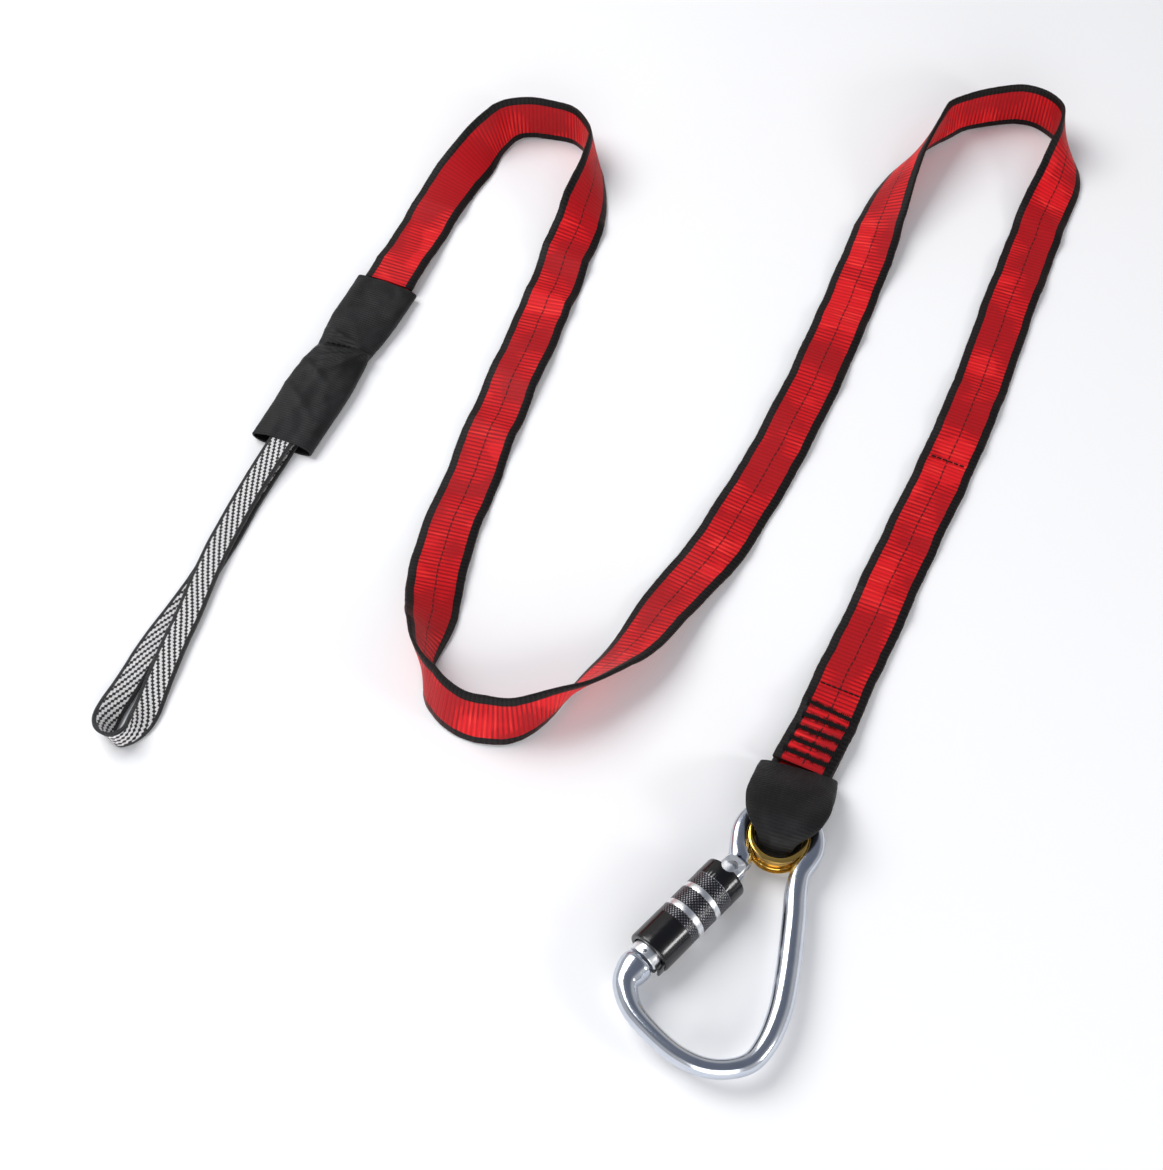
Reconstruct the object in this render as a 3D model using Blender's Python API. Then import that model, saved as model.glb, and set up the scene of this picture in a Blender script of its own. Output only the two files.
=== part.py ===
"""Tool lanyard with a captive-eye carabiner: a flat webbing strap, a tool loop and their covers.

Metres, +Z up. The lanyard lies on the plane z = 0, and the origin is under the middle of
the box round everything but the free strap. Lengths below are millimetres times MM.
"""
import math

import bmesh
import bpy
from mathutils import Matrix, Vector

MM = 0.001
GAP = 0.3 * MM                      # clearance between pieces that touch

# Webbing strap
STRAP_WIDTH = 25.0 * MM
STRAP_THICK = 1.8 * MM
STRAP_SAMPLES = 80
# The strap's lie, from the join sleeve to the wear cover: x, y, height of its lower
# edge, and its roll in degrees (0 stitched side up, 90 on edge, 180 plain side up).
STRAP_ROUTE = (
    (-46.1, 198.8, 2.8, 180), (-19.8, 264.0, 0.1, 172), (-7.7, 285.8, 0.1, 148),
    (3.3, 299.8, 0.1, 118), (17.3, 309.1, 0.1, 98), (44.3, 304.8, 0.1, 88),
    (53.3, 289.8, 0.1, 83), (54.8, 268.8, 0.1, 62), (49.8, 247.3, 0.1, 28),
    (42.3, 221.8, 0.1, 6), (-1.1, 79.6, 0.1, 0), (-12.5, 34.1, 0.1, 6),
    (-15.8, 0.8, 0.1, 34), (-17.8, -26.2, 0.1, 82), (-12.7, -41.2, 0.1, 104),
    (1.3, -52.7, 0.1, 108), (19.3, -56.5, 0.1, 105), (36.3, -48.7, 0.1, 86),
    (52.3, -35.2, 0.1, 56), (70.3, -17.2, 0.1, 32), (87.3, 8.8, 0.1, 14),
    (109.3, 40.1, 0.1, 0), (143.1, 103.2, 0.1, 0), (176.9, 180.9, 0.1, 0),
    (192.3, 220.8, 0.1, 8), (207.9, 260.8, 0.1, 38), (225.8, 290.3, 0.1, 70),
    (242.3, 308.8, 0.1, 90), (263.3, 318.8, 0.1, 92), (285.3, 319.8, 0.1, 90),
    (297.3, 307.8, 0.1, 88), (298.8, 290.8, 0.1, 64), (294.8, 272.8, 0.1, 28),
    (283.6, 248.6, 0.1, 5), (260.3, 192.3, 0.1, 0), (231.2, 120.6, 0.1, 0),
    (195.2, 44.9, 0.1, 0), (167.3, -13.2, 1.0, 0), (155.3, -38.2, 2.8, 0),
    (137.9, -73.4, 4.7, 0),
)

# Tool loop, a narrow webbing: out of the join sleeve, round its end and back under itself
LOOP_WIDTH = 11.6 * MM
LOOP_THICK = 1.4 * MM
LOOP_SAMPLES = 72
LOOP_ROUTE = (
    (-65.0, 154.0, 4.9, 0), (-89.3, 96.8, 4.9, 0), (-102.6, 66.2, 2.4, 0),
    (-110.4, 43.4, 1.8, 0), (-116.3, 22.0, 1.8, 0), (-120.5, 3.6, 1.8, 0),
    (-124.0, -9.3, 1.7, 0), (-127.2, -23.3, 1.5, 2), (-129.9, -35.6, 0.9, 8),
    (-131.7, -45.6, 0.4, 24), (-133.8, -53.0, 0.0, 52), (-137.2, -58.2, 0.0, 80),
    (-141.8, -60.2, 0.0, 94), (-145.9, -58.0, 0.0, 112), (-147.6, -52.0, 0.0, 138),
    (-146.2, -43.4, 0.0, 160), (-142.8, -33.6, 0.1, 172), (-138.8, -22.2, 0.1, 180),
    (-133.0, -8.2, 0.1, 180), (-126.4, 4.8, 0.1, 180), (-118.1, 22.0, 0.1, 180),
    (-109.4, 43.4, 0.1, 180), (-101.4, 65.9, 0.1, 180), (-88.4, 96.8, 1.1, 180),
    (-65.0, 154.0, 1.1, 180),
)

# Join sleeve over the sewn ends
JOIN_TOP = Vector((-46.7, 197.4, 0.0)) * MM
JOIN_BOTTOM = Vector((-89.1, 97.4, 0.0)) * MM
JOIN_THICK = 8.2 * MM
JOIN_WALL = 0.8 * MM
JOIN_WIDTHS = ((0.0, 32.6), (0.2, 32.0), (0.42, 27.6), (0.62, 31.6), (1.0, 31.0))
SEWN_LENGTH = 62.0 * MM
JOIN_TACK_FROM_TOP = (50.5, 57.5)

# Bar tacks and stitch rows across the strap
TACK_LENGTH = 22.0 * MM
TACK_WIDTH = 2.8 * MM
TACK_HEIGHT = 0.5 * MM
TACK_FIRST = 5.0 * MM
TACK_PITCH = 6.2 * MM
TACK_COUNT = 5
ROW_WIDTH = 1.0 * MM
END_ROW_FROM_COVER = 42.0 * MM
MID_ROW_FROM_COVER = 180.0 * MM

# Carabiner, laid flat: its eye's axis is vertical and its spine runs towards -Y
EYE = Vector((125.7, -108.2, 9.2)) * MM
BODY_TURN = math.radians(-14.6)
EYE_RADIUS = 14.5 * MM              # middle line of the eye
# Rod of the body from the nose round to the neck: x, y, width, thickness, corner cut
BODY_ROD = (
    (-40.57, -63.02, 13.2, 12.6, 0.5), (-42.5, -66.9, 12.6, 12.0, 0.55),
    (-43.6, -72.4, 10.0, 9.8, 0.6), (-39.4, -81.0, 8.2, 8.4, 0.6),
    (-29.5, -88.8, 7.4, 8.4, 0.6), (-18.0, -94.6, 7.2, 8.4, 0.6),
    (-8.0, -96.4, 7.2, 8.4, 0.6), (1.0, -94.6, 7.2, 8.4, 0.6),
    (7.8, -90.2, 7.6, 8.4, 0.6), (12.0, -81.5, 8.4, 8.4, 0.6),
    (14.2, -69.0, 9.0, 8.6, 0.6), (14.2, -55.0, 9.2, 8.6, 0.6),
    (13.3, -42.0, 9.2, 8.6, 0.6), (12.2, -30.0, 9.2, 8.6, 0.6),
    (11.0, -20.0, 8.8, 8.4, 0.5), (11.2, -12.0, 7.8, 8.0, 0.35),
)
EYE_ANGLES = (-25, -10, 5, 20, 35, 50, 65, 80, 95, 110, 125, 140, 155, 170, 182)
BODY_SHOULDER = ((-14.2, -4.4, 8.0, 8.2, 0.3), (-13.3, -8.6, 8.8, 8.8, 0.3),
                 (-12.25, -12.35, 9.4, 9.0, 0.3))

# Flanged bush in the eye, pressed together from two halves
BUSH_RADIUS = 10.2 * MM
BUSH_BORE = 9.4 * MM
FLANGE_RADIUS = 11.8 * MM
FLANGE_TOP = 5.0 * MM
FLANGE_THICK = 0.7 * MM

# Gate, in its own frame: +X from the hinge to the nose, +Y into the carabiner
HINGE = Vector((-14.8, -17.1, 0.0)) * MM
GATE_TURN = math.radians(240.7)
GATE_RADIUS = 5.0 * MM
GATE_END = 51.7 * MM
GATE_HEAD = 6.7 * MM
GATE_HEAD_FROM = 47.0 * MM
EAR_HALF = 4.4 * MM
TONGUE_HALF = 1.8 * MM
TONGUE_END = 3.4 * MM
TONGUE_SIDE = 3.9 * MM
EAR_SLOT_END = 5.6 * MM
RIVET_RADIUS = 1.5 * MM
SPRING_BORE = 1.9 * MM
SPRING_BORE_END = 23.0 * MM
LATCH_AT = 50.0 * MM
LATCH_RADIUS = 1.0 * MM
NOSE_FACE = 52.5 * MM
NOSE_TONGUE_START = 48.4 * MM
NOSE_TONGUE_HALF = 1.4 * MM
NOSE_TONGUE_SIDE = 2.8 * MM
GUIDE_AT = 39.4 * MM
GUIDE_TOP = 6.8 * MM
CLIP_GROOVE = 4.4 * MM
CLIP_AT = 7.4 * MM
CLIP_THICK = 0.7 * MM
CLIP_OUTER = 6.9 * MM
SEAT_AT = 8.6 * MM
SEAT_THICK = 1.4 * MM

# Locking sleeve and what turns and slides inside it
SLEEVE_RADIUS = 9.2 * MM
SLEEVE_BORE = 7.4 * MM
SLEEVE_LAND = 5.4 * MM
SLEEVE_FAR = 3.2 * MM
SLEEVE_NEAR = 47.6 * MM
COLLAR_AT = 32.7 * MM
COLLAR_LENGTH = 3.5 * MM
COLLAR_OUTER = 7.1 * MM
COIL_RADIUS = 6.25 * MM
COIL_WIRE = 0.4 * MM

# Strap's folded end through the bush, in the fold's own frame: +X towards the strap
FOLD_TURN = math.radians(71.6)
FOLD_THICK = 1.6 * MM
COVER_THICK = 3.4 * MM
COVER_WALL = 0.6 * MM
# distance from the bush's axis, height, webbing width, cover width
FOLD_PATH = (
    (34.5, 5.7, 25.0, 32.4), (27.0, 10.8, 25.0, 34.8), (20.0, 15.0, 24.0, 36.0),
    (13.0, 17.6, 22.0, 34.6), (7.0, 18.8, 19.0, 29.6), (1.5, 18.4, 15.0, 22.0),
    (-2.8, 16.2, 11.5, 15.0), (-4.4, 12.6, 10.4, 13.4), (-4.6, 9.2, 10.4, 13.4),
    (-4.2, 5.8, 10.4, 13.4), (-1.5, 2.9, 11.5, 15.2), (5.0, 1.95, 14.0, 21.0),
    (13.0, 1.95, 18.0, 28.0), (20.0, 1.95, 22.0, 32.6), (28.0, 1.95, 25.0, 34.0),
    (34.5, 1.95, 25.0, 33.0),
)
# The tail goes on under the strap: x, y, height of its middle
TAIL_ROUTE = ((143.7, -62.0, 1.6), (150.3, -48.6, 1.2), (155.7, -37.6, 1.1))


def hex_colour(code):
    """Linear colour from an sRGB hex code."""
    parts = [int(code[i:i + 2], 16) / 255 for i in (0, 2, 4)]
    return [c / 12.92 if c <= 0.04045 else ((c + 0.055) / 1.055) ** 2.4 for c in parts] + [1.0]


def material(name, code, roughness, metallic=0.0):
    """A Principled material in one colour."""
    made = bpy.data.materials.new(name)
    made.use_nodes = True
    shader = made.node_tree.nodes["Principled BSDF"]
    shader.inputs["Base Color"].default_value = hex_colour(code)
    shader.inputs["Roughness"].default_value = roughness
    shader.inputs["Metallic"].default_value = metallic
    return made


def add_empty(name, location, turn, parent=None):
    """A frame that pieces hang from: a place and a turn about Z."""
    empty = bpy.data.objects.new(name, None)
    bpy.context.collection.objects.link(empty)
    empty.location = location
    empty.rotation_euler = (0.0, 0.0, turn)
    empty.parent = parent
    return empty


def add_piece(name, bm, finish=None, parent=None, smooth=True):
    """Turn a bmesh into a named object with its material."""
    bmesh.ops.recalc_face_normals(bm, faces=bm.faces)
    mesh = bpy.data.meshes.new(name)
    bm.to_mesh(mesh)
    bm.free()
    if smooth:
        mesh.shade_smooth()
        mesh.set_sharp_from_angle(angle=math.radians(35))
    if finish:
        mesh.materials.append(finish)
    piece = bpy.data.objects.new(name, mesh)
    bpy.context.collection.objects.link(piece)
    piece.parent = parent
    return piece


def cut(piece, cutter, operation="DIFFERENCE"):
    """Boolean one object with another, which is then only a guide."""
    cutter.hide_render = True
    cutter.display_type = "WIRE"
    boolean = piece.modifiers.new(cutter.name, "BOOLEAN")
    boolean.operation = operation
    boolean.solver = "EXACT"
    boolean.object = cutter


def curve_through(points, samples):
    """Evenly spaced samples of a centripetal curve through points of any dimension."""
    rows = [Vector(p) for p in points]
    rows = [2 * rows[0] - rows[1]] + rows + [2 * rows[-1] - rows[-2]]
    dense = []
    for a, b, c, d in zip(rows, rows[1:], rows[2:], rows[3:]):
        t1 = (b.xy - a.xy).length ** 0.5
        t2 = t1 + (c.xy - b.xy).length ** 0.5
        t3 = t2 + (d.xy - c.xy).length ** 0.5
        for step in range(12):
            t = t1 + (t2 - t1) * step / 12
            ab = a * (t1 - t) / t1 + b * t / t1
            bc = b * (t2 - t) / (t2 - t1) + c * (t - t1) / (t2 - t1)
            cd = c * (t3 - t) / (t3 - t2) + d * (t - t2) / (t3 - t2)
            left = ab * (t2 - t) / t2 + bc * t / t2
            right = bc * (t3 - t) / (t3 - t1) + cd * (t - t1) / (t3 - t1)
            dense.append(left * (t2 - t) / (t2 - t1) + right * (t - t1) / (t2 - t1))
    dense.append(rows[-2])
    reach = [0.0]
    for a, b in zip(dense, dense[1:]):
        reach.append(reach[-1] + (b.xy - a.xy).length)
    picked, k = [], 0
    for i in range(samples):
        goal = reach[-1] * i / (samples - 1)
        while k < len(dense) - 2 and reach[k + 1] < goal:
            k += 1
        share = (goal - reach[k]) / (reach[k + 1] - reach[k])
        picked.append(dense[k].lerp(dense[k + 1], min(share, 1.0)))
    return picked


def ribbon_frames(route, samples, width, thick):
    """Middle, side and face vectors of a webbing lying on the plane along its route."""
    rows = curve_through(route, samples)
    places = []
    for x, y, lift, roll in rows:
        turn = math.radians(roll)
        height = abs(math.sin(turn)) * width / 2 + abs(math.cos(turn)) * thick / 2
        places.append(Vector((x * MM, y * MM, lift * MM + height)))
    frames = []
    for i, row in enumerate(rows):
        ahead = places[min(i + 1, samples - 1)] - places[max(i - 1, 0)]
        right = Vector((ahead.y, -ahead.x, 0.0)).normalized()
        turn = math.radians(row[3])
        side = right * math.cos(turn) + Vector((0, 0, 1)) * math.sin(turn)
        face = side.cross(ahead.normalized())
        frames.append((places[i], side, face.normalized()))
    return frames


def band_ring(bm, middle, side, face, width, thick):
    """Four corners of a webbing's section."""
    corners = ((1, 1), (-1, 1), (-1, -1), (1, -1))
    return [bm.verts.new(middle + side * (a * width / 2) + face * (b * thick / 2))
            for a, b in corners]


def bridge(bm, rings, capped=True, closed=False):
    """Skin a row of rings that have the same number of corners."""
    pairs = list(zip(rings, rings[1:]))
    if closed:
        pairs.append((rings[-1], rings[0]))
    for first, second in pairs:
        for i in range(len(first)):
            j = (i + 1) % len(first)
            bm.faces.new((first[i], first[j], second[j], second[i]))
    if capped and not closed:
        bm.faces.new(rings[0])
        bm.faces.new(rings[-1])


def webbing(name, frames, width, thick, finish):
    """A flat band along its frames."""
    bm = bmesh.new()
    bridge(bm, [band_ring(bm, p, s, f, width, thick) for p, s, f in frames])
    return add_piece(name, bm, finish, smooth=False)


def hollow_band(name, stations, wall, finish):
    """An open-ended flat tube: stations are middle, side, face, width, thickness."""
    bm = bmesh.new()
    outer = [band_ring(bm, *row) for row in stations]
    inner = [band_ring(bm, p, s, f, w - 2 * wall, t - 2 * wall) for p, s, f, w, t in stations]
    bridge(bm, outer, capped=False)
    bridge(bm, inner, capped=False)
    for mouth in (0, -1):
        for i in range(4):
            j = (i + 1) % 4
            bm.faces.new((outer[mouth][i], outer[mouth][j], inner[mouth][j], inner[mouth][i]))
    return add_piece(name, bm, finish, smooth=False)


def turned(name, profile, finish=None, parent=None, steps=48, axis="X"):
    """Spin a closed profile of (along, radius) pairs about the axis."""
    bm = bmesh.new()
    across = Vector((0, 0, 1)) if axis == "X" else Vector((1, 0, 0))
    along = Vector((1, 0, 0)) if axis == "X" else Vector((0, 0, 1))
    verts = [bm.verts.new(along * a + across * r) for a, r in profile]
    edges = [bm.edges.new((v, verts[(i + 1) % len(verts)])) for i, v in enumerate(verts)]
    bmesh.ops.spin(bm, geom=verts + edges, axis=along, cent=(0, 0, 0),
                   angle=math.tau, steps=steps, use_merge=True)
    bmesh.ops.remove_doubles(bm, verts=bm.verts, dist=1e-7)
    return add_piece(name, bm, finish, parent)


def rod(name, start, end, radius, finish=None, parent=None, axis="X", sides=24):
    """A plain round rod along X or Z of its frame."""
    bm = bmesh.new()
    bmesh.ops.create_cone(bm, cap_ends=True, segments=sides, radius1=radius, radius2=radius,
                          depth=end - start)
    bmesh.ops.translate(bm, verts=bm.verts, vec=(0, 0, (start + end) / 2))
    if axis == "X":
        bmesh.ops.rotate(bm, verts=bm.verts, matrix=Matrix.Rotation(math.pi / 2, 3, "Y"))
    return add_piece(name, bm, finish, parent)


def block(name, low, high, finish=None, parent=None):
    """A box between two corners."""
    bm = bmesh.new()
    low, high = Vector(low), Vector(high)
    size = high - low
    bmesh.ops.create_cube(bm, size=1.0)
    bmesh.ops.scale(bm, verts=bm.verts, vec=size)
    bmesh.ops.translate(bm, verts=bm.verts, vec=(low + high) / 2)
    return add_piece(name, bm, finish, parent, smooth=False)


def helix(name, start, end, coil, wire, turns, finish, parent, per_turn=16, sides=6):
    """A round-wire spring along X."""
    bm = bmesh.new()
    rings = []
    count = int(turns * per_turn)
    rise = (end - start - 2 * wire) / math.tau / turns
    for i in range(count + 1):
        turn = math.tau * turns * i / count
        out = Vector((0, math.cos(turn), math.sin(turn)))
        middle = Vector((start + wire + rise * turn, 0, 0)) + out * coil
        along = Vector((rise, -coil * math.sin(turn), coil * math.cos(turn))).normalized()
        up = along.cross(out)
        rings.append([bm.verts.new(middle + (out * math.cos(a) + up * math.sin(a)) * wire)
                      for a in (math.tau * k / sides for k in range(sides))])
    bridge(bm, rings)
    return add_piece(name, bm, finish, parent)


def body_section(bm, middle, out, width, thick, corner):
    """One rounded section of the body's rod: flat top and bottom, cut corners."""
    quarter = ((1, 1 - corner), (1 - 0.3 * corner, 1 - 0.3 * corner), (1 - corner, 1))
    points = list(quarter)
    points += [(-a, b) for a, b in reversed(quarter)]
    points += [(-a, -b) for a, b in quarter]
    points += [(a, -b) for a, b in reversed(quarter)]
    up = Vector((0, 0, 1))
    return [bm.verts.new(middle + out * (a * width / 2) + up * (b * thick / 2))
            for a, b in points]


def carabiner_body(finish, frame, gate_frame):
    """The forged body: one rod from the nose round to the spine, the eye and the hinge."""
    eye = []
    for angle in EYE_ANGLES:
        turn = math.radians(angle)
        eye.append((EYE_RADIUS / MM * math.cos(turn), EYE_RADIUS / MM * math.sin(turn), 8.0, 8.0, 0.3))
    rows = curve_through(list(BODY_ROD) + eye + list(BODY_SHOULDER), 110)
    bm = bmesh.new()
    rings = []
    for i, (x, y, width, thick, corner) in enumerate(rows):
        ahead = rows[min(i + 1, len(rows) - 1)] - rows[max(i - 1, 0)]
        if i in (0, len(rows) - 1):
            ahead = Vector((math.cos(GATE_TURN), math.sin(GATE_TURN)))
        out = Vector((ahead[1], -ahead[0], 0.0)).normalized()
        rings.append(body_section(bm, Vector((x, y, 0)) * MM, out, width * MM, thick * MM, corner))
    bridge(bm, rings)
    body = add_piece("carabiner_body", bm, finish, frame)
    hinge_tongue = block("hinge_tongue_guide", (-8.0 * MM, -TONGUE_SIDE, -TONGUE_HALF),
                         (TONGUE_END, TONGUE_SIDE, TONGUE_HALF), parent=gate_frame)
    cut(body, hinge_tongue, "UNION")
    nose_tongue = block("nose_tongue_guide",
                        (NOSE_TONGUE_START, -NOSE_TONGUE_SIDE, -NOSE_TONGUE_HALF),
                        (NOSE_FACE + 3.0 * MM, NOSE_TONGUE_SIDE, NOSE_TONGUE_HALF),
                        parent=gate_frame)
    cut(body, nose_tongue, "UNION")
    cut(body, rod("hinge_hole_guide", -10 * MM, 10 * MM, RIVET_RADIUS + GAP,
                  parent=gate_frame, axis="Z"))
    slot = LATCH_RADIUS + GAP
    cut(body, block("latch_slot_guide", (LATCH_AT - slot, -slot, -5 * MM),
                    (LATCH_AT + slot + 0.2 * MM, 5 * MM, 5 * MM), parent=gate_frame))
    return body


def gate_arm(finish, frame):
    """The gate's bar, with its hinge ears, nose slot and the holes for its small pieces."""
    arm = rod("gate_arm", 0.0, GATE_END, GATE_RADIUS, finish, frame)
    cut(arm, rod("ear_guide", -EAR_HALF, EAR_HALF, GATE_RADIUS - 0.02 * MM,
                 parent=frame, axis="Z", sides=32), "UNION")
    slot = TONGUE_HALF + GAP
    cut(arm, block("ear_slot_guide", (-8 * MM, -8 * MM, -slot), (EAR_SLOT_END, 8 * MM, slot),
                   parent=frame))
    cut(arm, rod("spring_bore_guide", EAR_SLOT_END - 1 * MM, SPRING_BORE_END, SPRING_BORE,
                 parent=frame, sides=16))
    cut(arm, rod("rivet_hole_guide", -10 * MM, 10 * MM, RIVET_RADIUS + GAP,
                 parent=frame, axis="Z"))
    cut(arm, rod("nose_head_guide", GATE_HEAD_FROM, GATE_END - 0.01 * MM, GATE_HEAD,
                 parent=frame, sides=32), "UNION")
    slot = NOSE_TONGUE_HALF + GAP
    cut(arm, block("nose_slot_guide", (NOSE_TONGUE_START - 0.5 * MM, -8 * MM, -slot),
                   (GATE_END + 2 * MM, 8 * MM, slot), parent=frame))
    latch_hole = rod("latch_hole_guide", -10 * MM, 10 * MM, LATCH_RADIUS + GAP,
                     parent=frame, axis="Z", sides=16)
    latch_hole.location.x = LATCH_AT
    cut(arm, latch_hole)
    guide_hole = rod("guide_hole_guide", 1.5 * MM, 8 * MM, LATCH_RADIUS + GAP,
                     parent=frame, axis="Z", sides=16)
    guide_hole.location.x = GUIDE_AT
    cut(arm, guide_hole)
    cut(arm, turned("clip_groove_guide", (
        (CLIP_AT - GAP, 6 * MM), (CLIP_AT - GAP, CLIP_GROOVE),
        (CLIP_AT + CLIP_THICK + GAP, CLIP_GROOVE), (CLIP_AT + CLIP_THICK + GAP, 6 * MM)),
        parent=frame, steps=32))
    return arm


def retaining_clip(finish, frame):
    """An open ring snapped into the gate's groove."""
    bm = bmesh.new()
    rings = []
    for i in range(25):
        turn = math.radians(20 + 320 * i / 24)
        out = Vector((0, math.cos(turn), math.sin(turn)))
        rings.append([bm.verts.new(Vector((a, 0, 0)) + out * r) for a, r in (
            (CLIP_AT, CLIP_GROOVE + GAP), (CLIP_AT + CLIP_THICK, CLIP_GROOVE + GAP),
            (CLIP_AT + CLIP_THICK, CLIP_OUTER), (CLIP_AT, CLIP_OUTER))])
    bridge(bm, rings)
    return add_piece("sleeve_retaining_clip", bm, finish, frame)


def locking_sleeve(finish, frame):
    """The knurled sleeve: a bore for the spring, two lands, and a lug at the nose end."""
    radius = SLEEVE_RADIUS
    profile = (
        (SLEEVE_FAR, SLEEVE_BORE), (SLEEVE_FAR, radius - 0.8 * MM),
        (SLEEVE_FAR + 0.8 * MM, radius), (SLEEVE_NEAR - 0.6 * MM, radius),
        (SLEEVE_NEAR, radius - 0.6 * MM), (SLEEVE_NEAR, 7.2 * MM), (45.4 * MM, 6.4 * MM),
        (45.4 * MM, SLEEVE_LAND), (43.7 * MM, SLEEVE_LAND), (43.7 * MM, 7.2 * MM),
        (38.0 * MM, 7.2 * MM), (38.0 * MM, SLEEVE_LAND), (36.5 * MM, SLEEVE_LAND),
        (36.5 * MM, SLEEVE_BORE),
    )
    sleeve = turned("locking_sleeve", profile, finish, frame, steps=40)
    cut(sleeve, block("sleeve_lug_guide", (SLEEVE_NEAR - 1.2 * MM, 6.95 * MM, -3.0 * MM),
                      (SLEEVE_NEAR + 3.4 * MM, 8.4 * MM, 3.0 * MM), parent=frame), "UNION")
    scallop = rod("sleeve_scallop_guide", 4.0 * MM, 12 * MM, 3.2 * MM, parent=frame, axis="Z")
    scallop.location.x = 1.8 * MM
    cut(sleeve, scallop)
    return sleeve


def bush_half(name, sign, finish, frame):
    """One flanged half of the bush; sign says which side its flange is on."""
    face = 0.15 * MM
    rim = FLANGE_TOP - FLANGE_THICK
    profile = [(face, BUSH_BORE), (face, BUSH_RADIUS), (rim, BUSH_RADIUS),
               (rim, FLANGE_RADIUS - 0.2 * MM), (rim + 0.2 * MM, FLANGE_RADIUS),
               (FLANGE_TOP - 0.2 * MM, FLANGE_RADIUS), (FLANGE_TOP, FLANGE_RADIUS - 0.2 * MM),
               (FLANGE_TOP, BUSH_BORE + 0.5 * MM), (FLANGE_TOP - 0.5 * MM, BUSH_BORE)]
    return turned(name, [(sign * a, r) for a, r in profile], finish, frame, axis="Z")


def fold_stations():
    """The fold's middle line in the world, with its side and face vectors."""
    turn = Matrix.Rotation(FOLD_TURN, 3, "Z")
    side = turn @ Vector((0, 1, 0))
    places = []
    for s, z, _, _ in FOLD_PATH:
        flat = turn @ Vector((s, 0, 0)) * MM
        places.append(Vector((EYE.x + flat.x, EYE.y + flat.y, z * MM)))
    return places, side


def band_faces(places, side):
    """Face vectors of a band that bends about its own side vector."""
    faces = []
    for i in range(len(places)):
        ahead = places[min(i + 1, len(places) - 1)] - places[max(i - 1, 0)]
        faces.append(side.cross(ahead).normalized())
    return faces


def strap_fold(finish):
    """The strap's end, folded through the bush and back under the strap."""
    places, side = fold_stations()
    widths = [row[2] * MM for row in FOLD_PATH]
    places += [Vector(p) * MM for p in TAIL_ROUTE]
    widths += [STRAP_WIDTH] * len(TAIL_ROUTE)
    faces = band_faces(places, side)
    bm = bmesh.new()
    rings = []
    for i, place in enumerate(places):
        across = side
        if i >= len(FOLD_PATH):
            ahead = places[min(i + 1, len(places) - 1)] - places[i - 1]
            across = Vector((-ahead.y, ahead.x, 0)).normalized()
        rings.append(band_ring(bm, place, across, faces[i], widths[i], FOLD_THICK))
    bridge(bm, rings)
    return add_piece("strap_eye_fold", bm, finish, smooth=False)


def wear_cover(finish):
    """The black sheath over the fold, open at both mouths."""
    places, side = fold_stations()
    faces = band_faces(places, side)
    stations = [(place, side, faces[i], FOLD_PATH[i][3] * MM, COVER_THICK)
                for i, place in enumerate(places)]
    return hollow_band("eye_wear_cover", stations, COVER_WALL, finish)


def tack(name, frames, distance, length, width, finish):
    """A short raised row of thread across the strap, a distance back from the cover."""
    walked, i = 0.0, len(frames) - 1
    while walked < distance:
        walked += (frames[i][0] - frames[i - 1][0]).length
        i -= 1
    middle, side, face = frames[i]
    share = (walked - distance) / (frames[i + 1][0] - middle).length
    middle = middle.lerp(frames[i + 1][0], share)
    ahead = face.cross(side)
    centre = middle + face * (STRAP_THICK / 2 + GAP + TACK_HEIGHT / 2)
    bm = bmesh.new()
    bridge(bm, [band_ring(bm, centre + ahead * (end * width / 2), side, face, length, TACK_HEIGHT)
                for end in (-1, 1)])
    return add_piece(name, bm, finish, smooth=False)


def join(fabric, thread, red):
    """The join sleeve, the strap's sewn end in it and the stitches that hold them."""
    along = (JOIN_BOTTOM - JOIN_TOP)
    side = Vector((along.y, -along.x, 0)).normalized()
    up = Vector((0, 0, 1))
    middle = up * (JOIN_THICK / 2)
    stations = [(JOIN_TOP + along * share + middle, side, up, width * MM, JOIN_THICK)
                for share, width in JOIN_WIDTHS]
    hollow_band("join_sleeve", stations, JOIN_WALL, fabric)
    heading = along.normalized()
    height = up * (2.8 * MM + STRAP_THICK / 2)
    start = JOIN_TOP + heading * GAP + height
    webbing("strap_sewn_end", [(start, side, up), (start + heading * SEWN_LENGTH, side, up)],
            STRAP_WIDTH, STRAP_THICK, red)
    for i, place in enumerate(JOIN_TACK_FROM_TOP):
        centre = JOIN_TOP + heading * (place * MM) + up * (6.6 * MM + TACK_HEIGHT / 2)
        webbing("join_bar_tack_%d" % (i + 1),
                [(centre - heading * TACK_WIDTH / 2, side, up),
                 (centre + heading * TACK_WIDTH / 2, side, up)],
                LOOP_WIDTH, TACK_HEIGHT, thread)
    centre = JOIN_TOP + along * 0.42 + up * (JOIN_THICK + GAP + TACK_HEIGHT / 2)
    webbing("join_cross_stitch", [(centre - heading * ROW_WIDTH / 2, side, up),
                                  (centre + heading * ROW_WIDTH / 2, side, up)],
            25 * MM, TACK_HEIGHT, thread)


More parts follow.
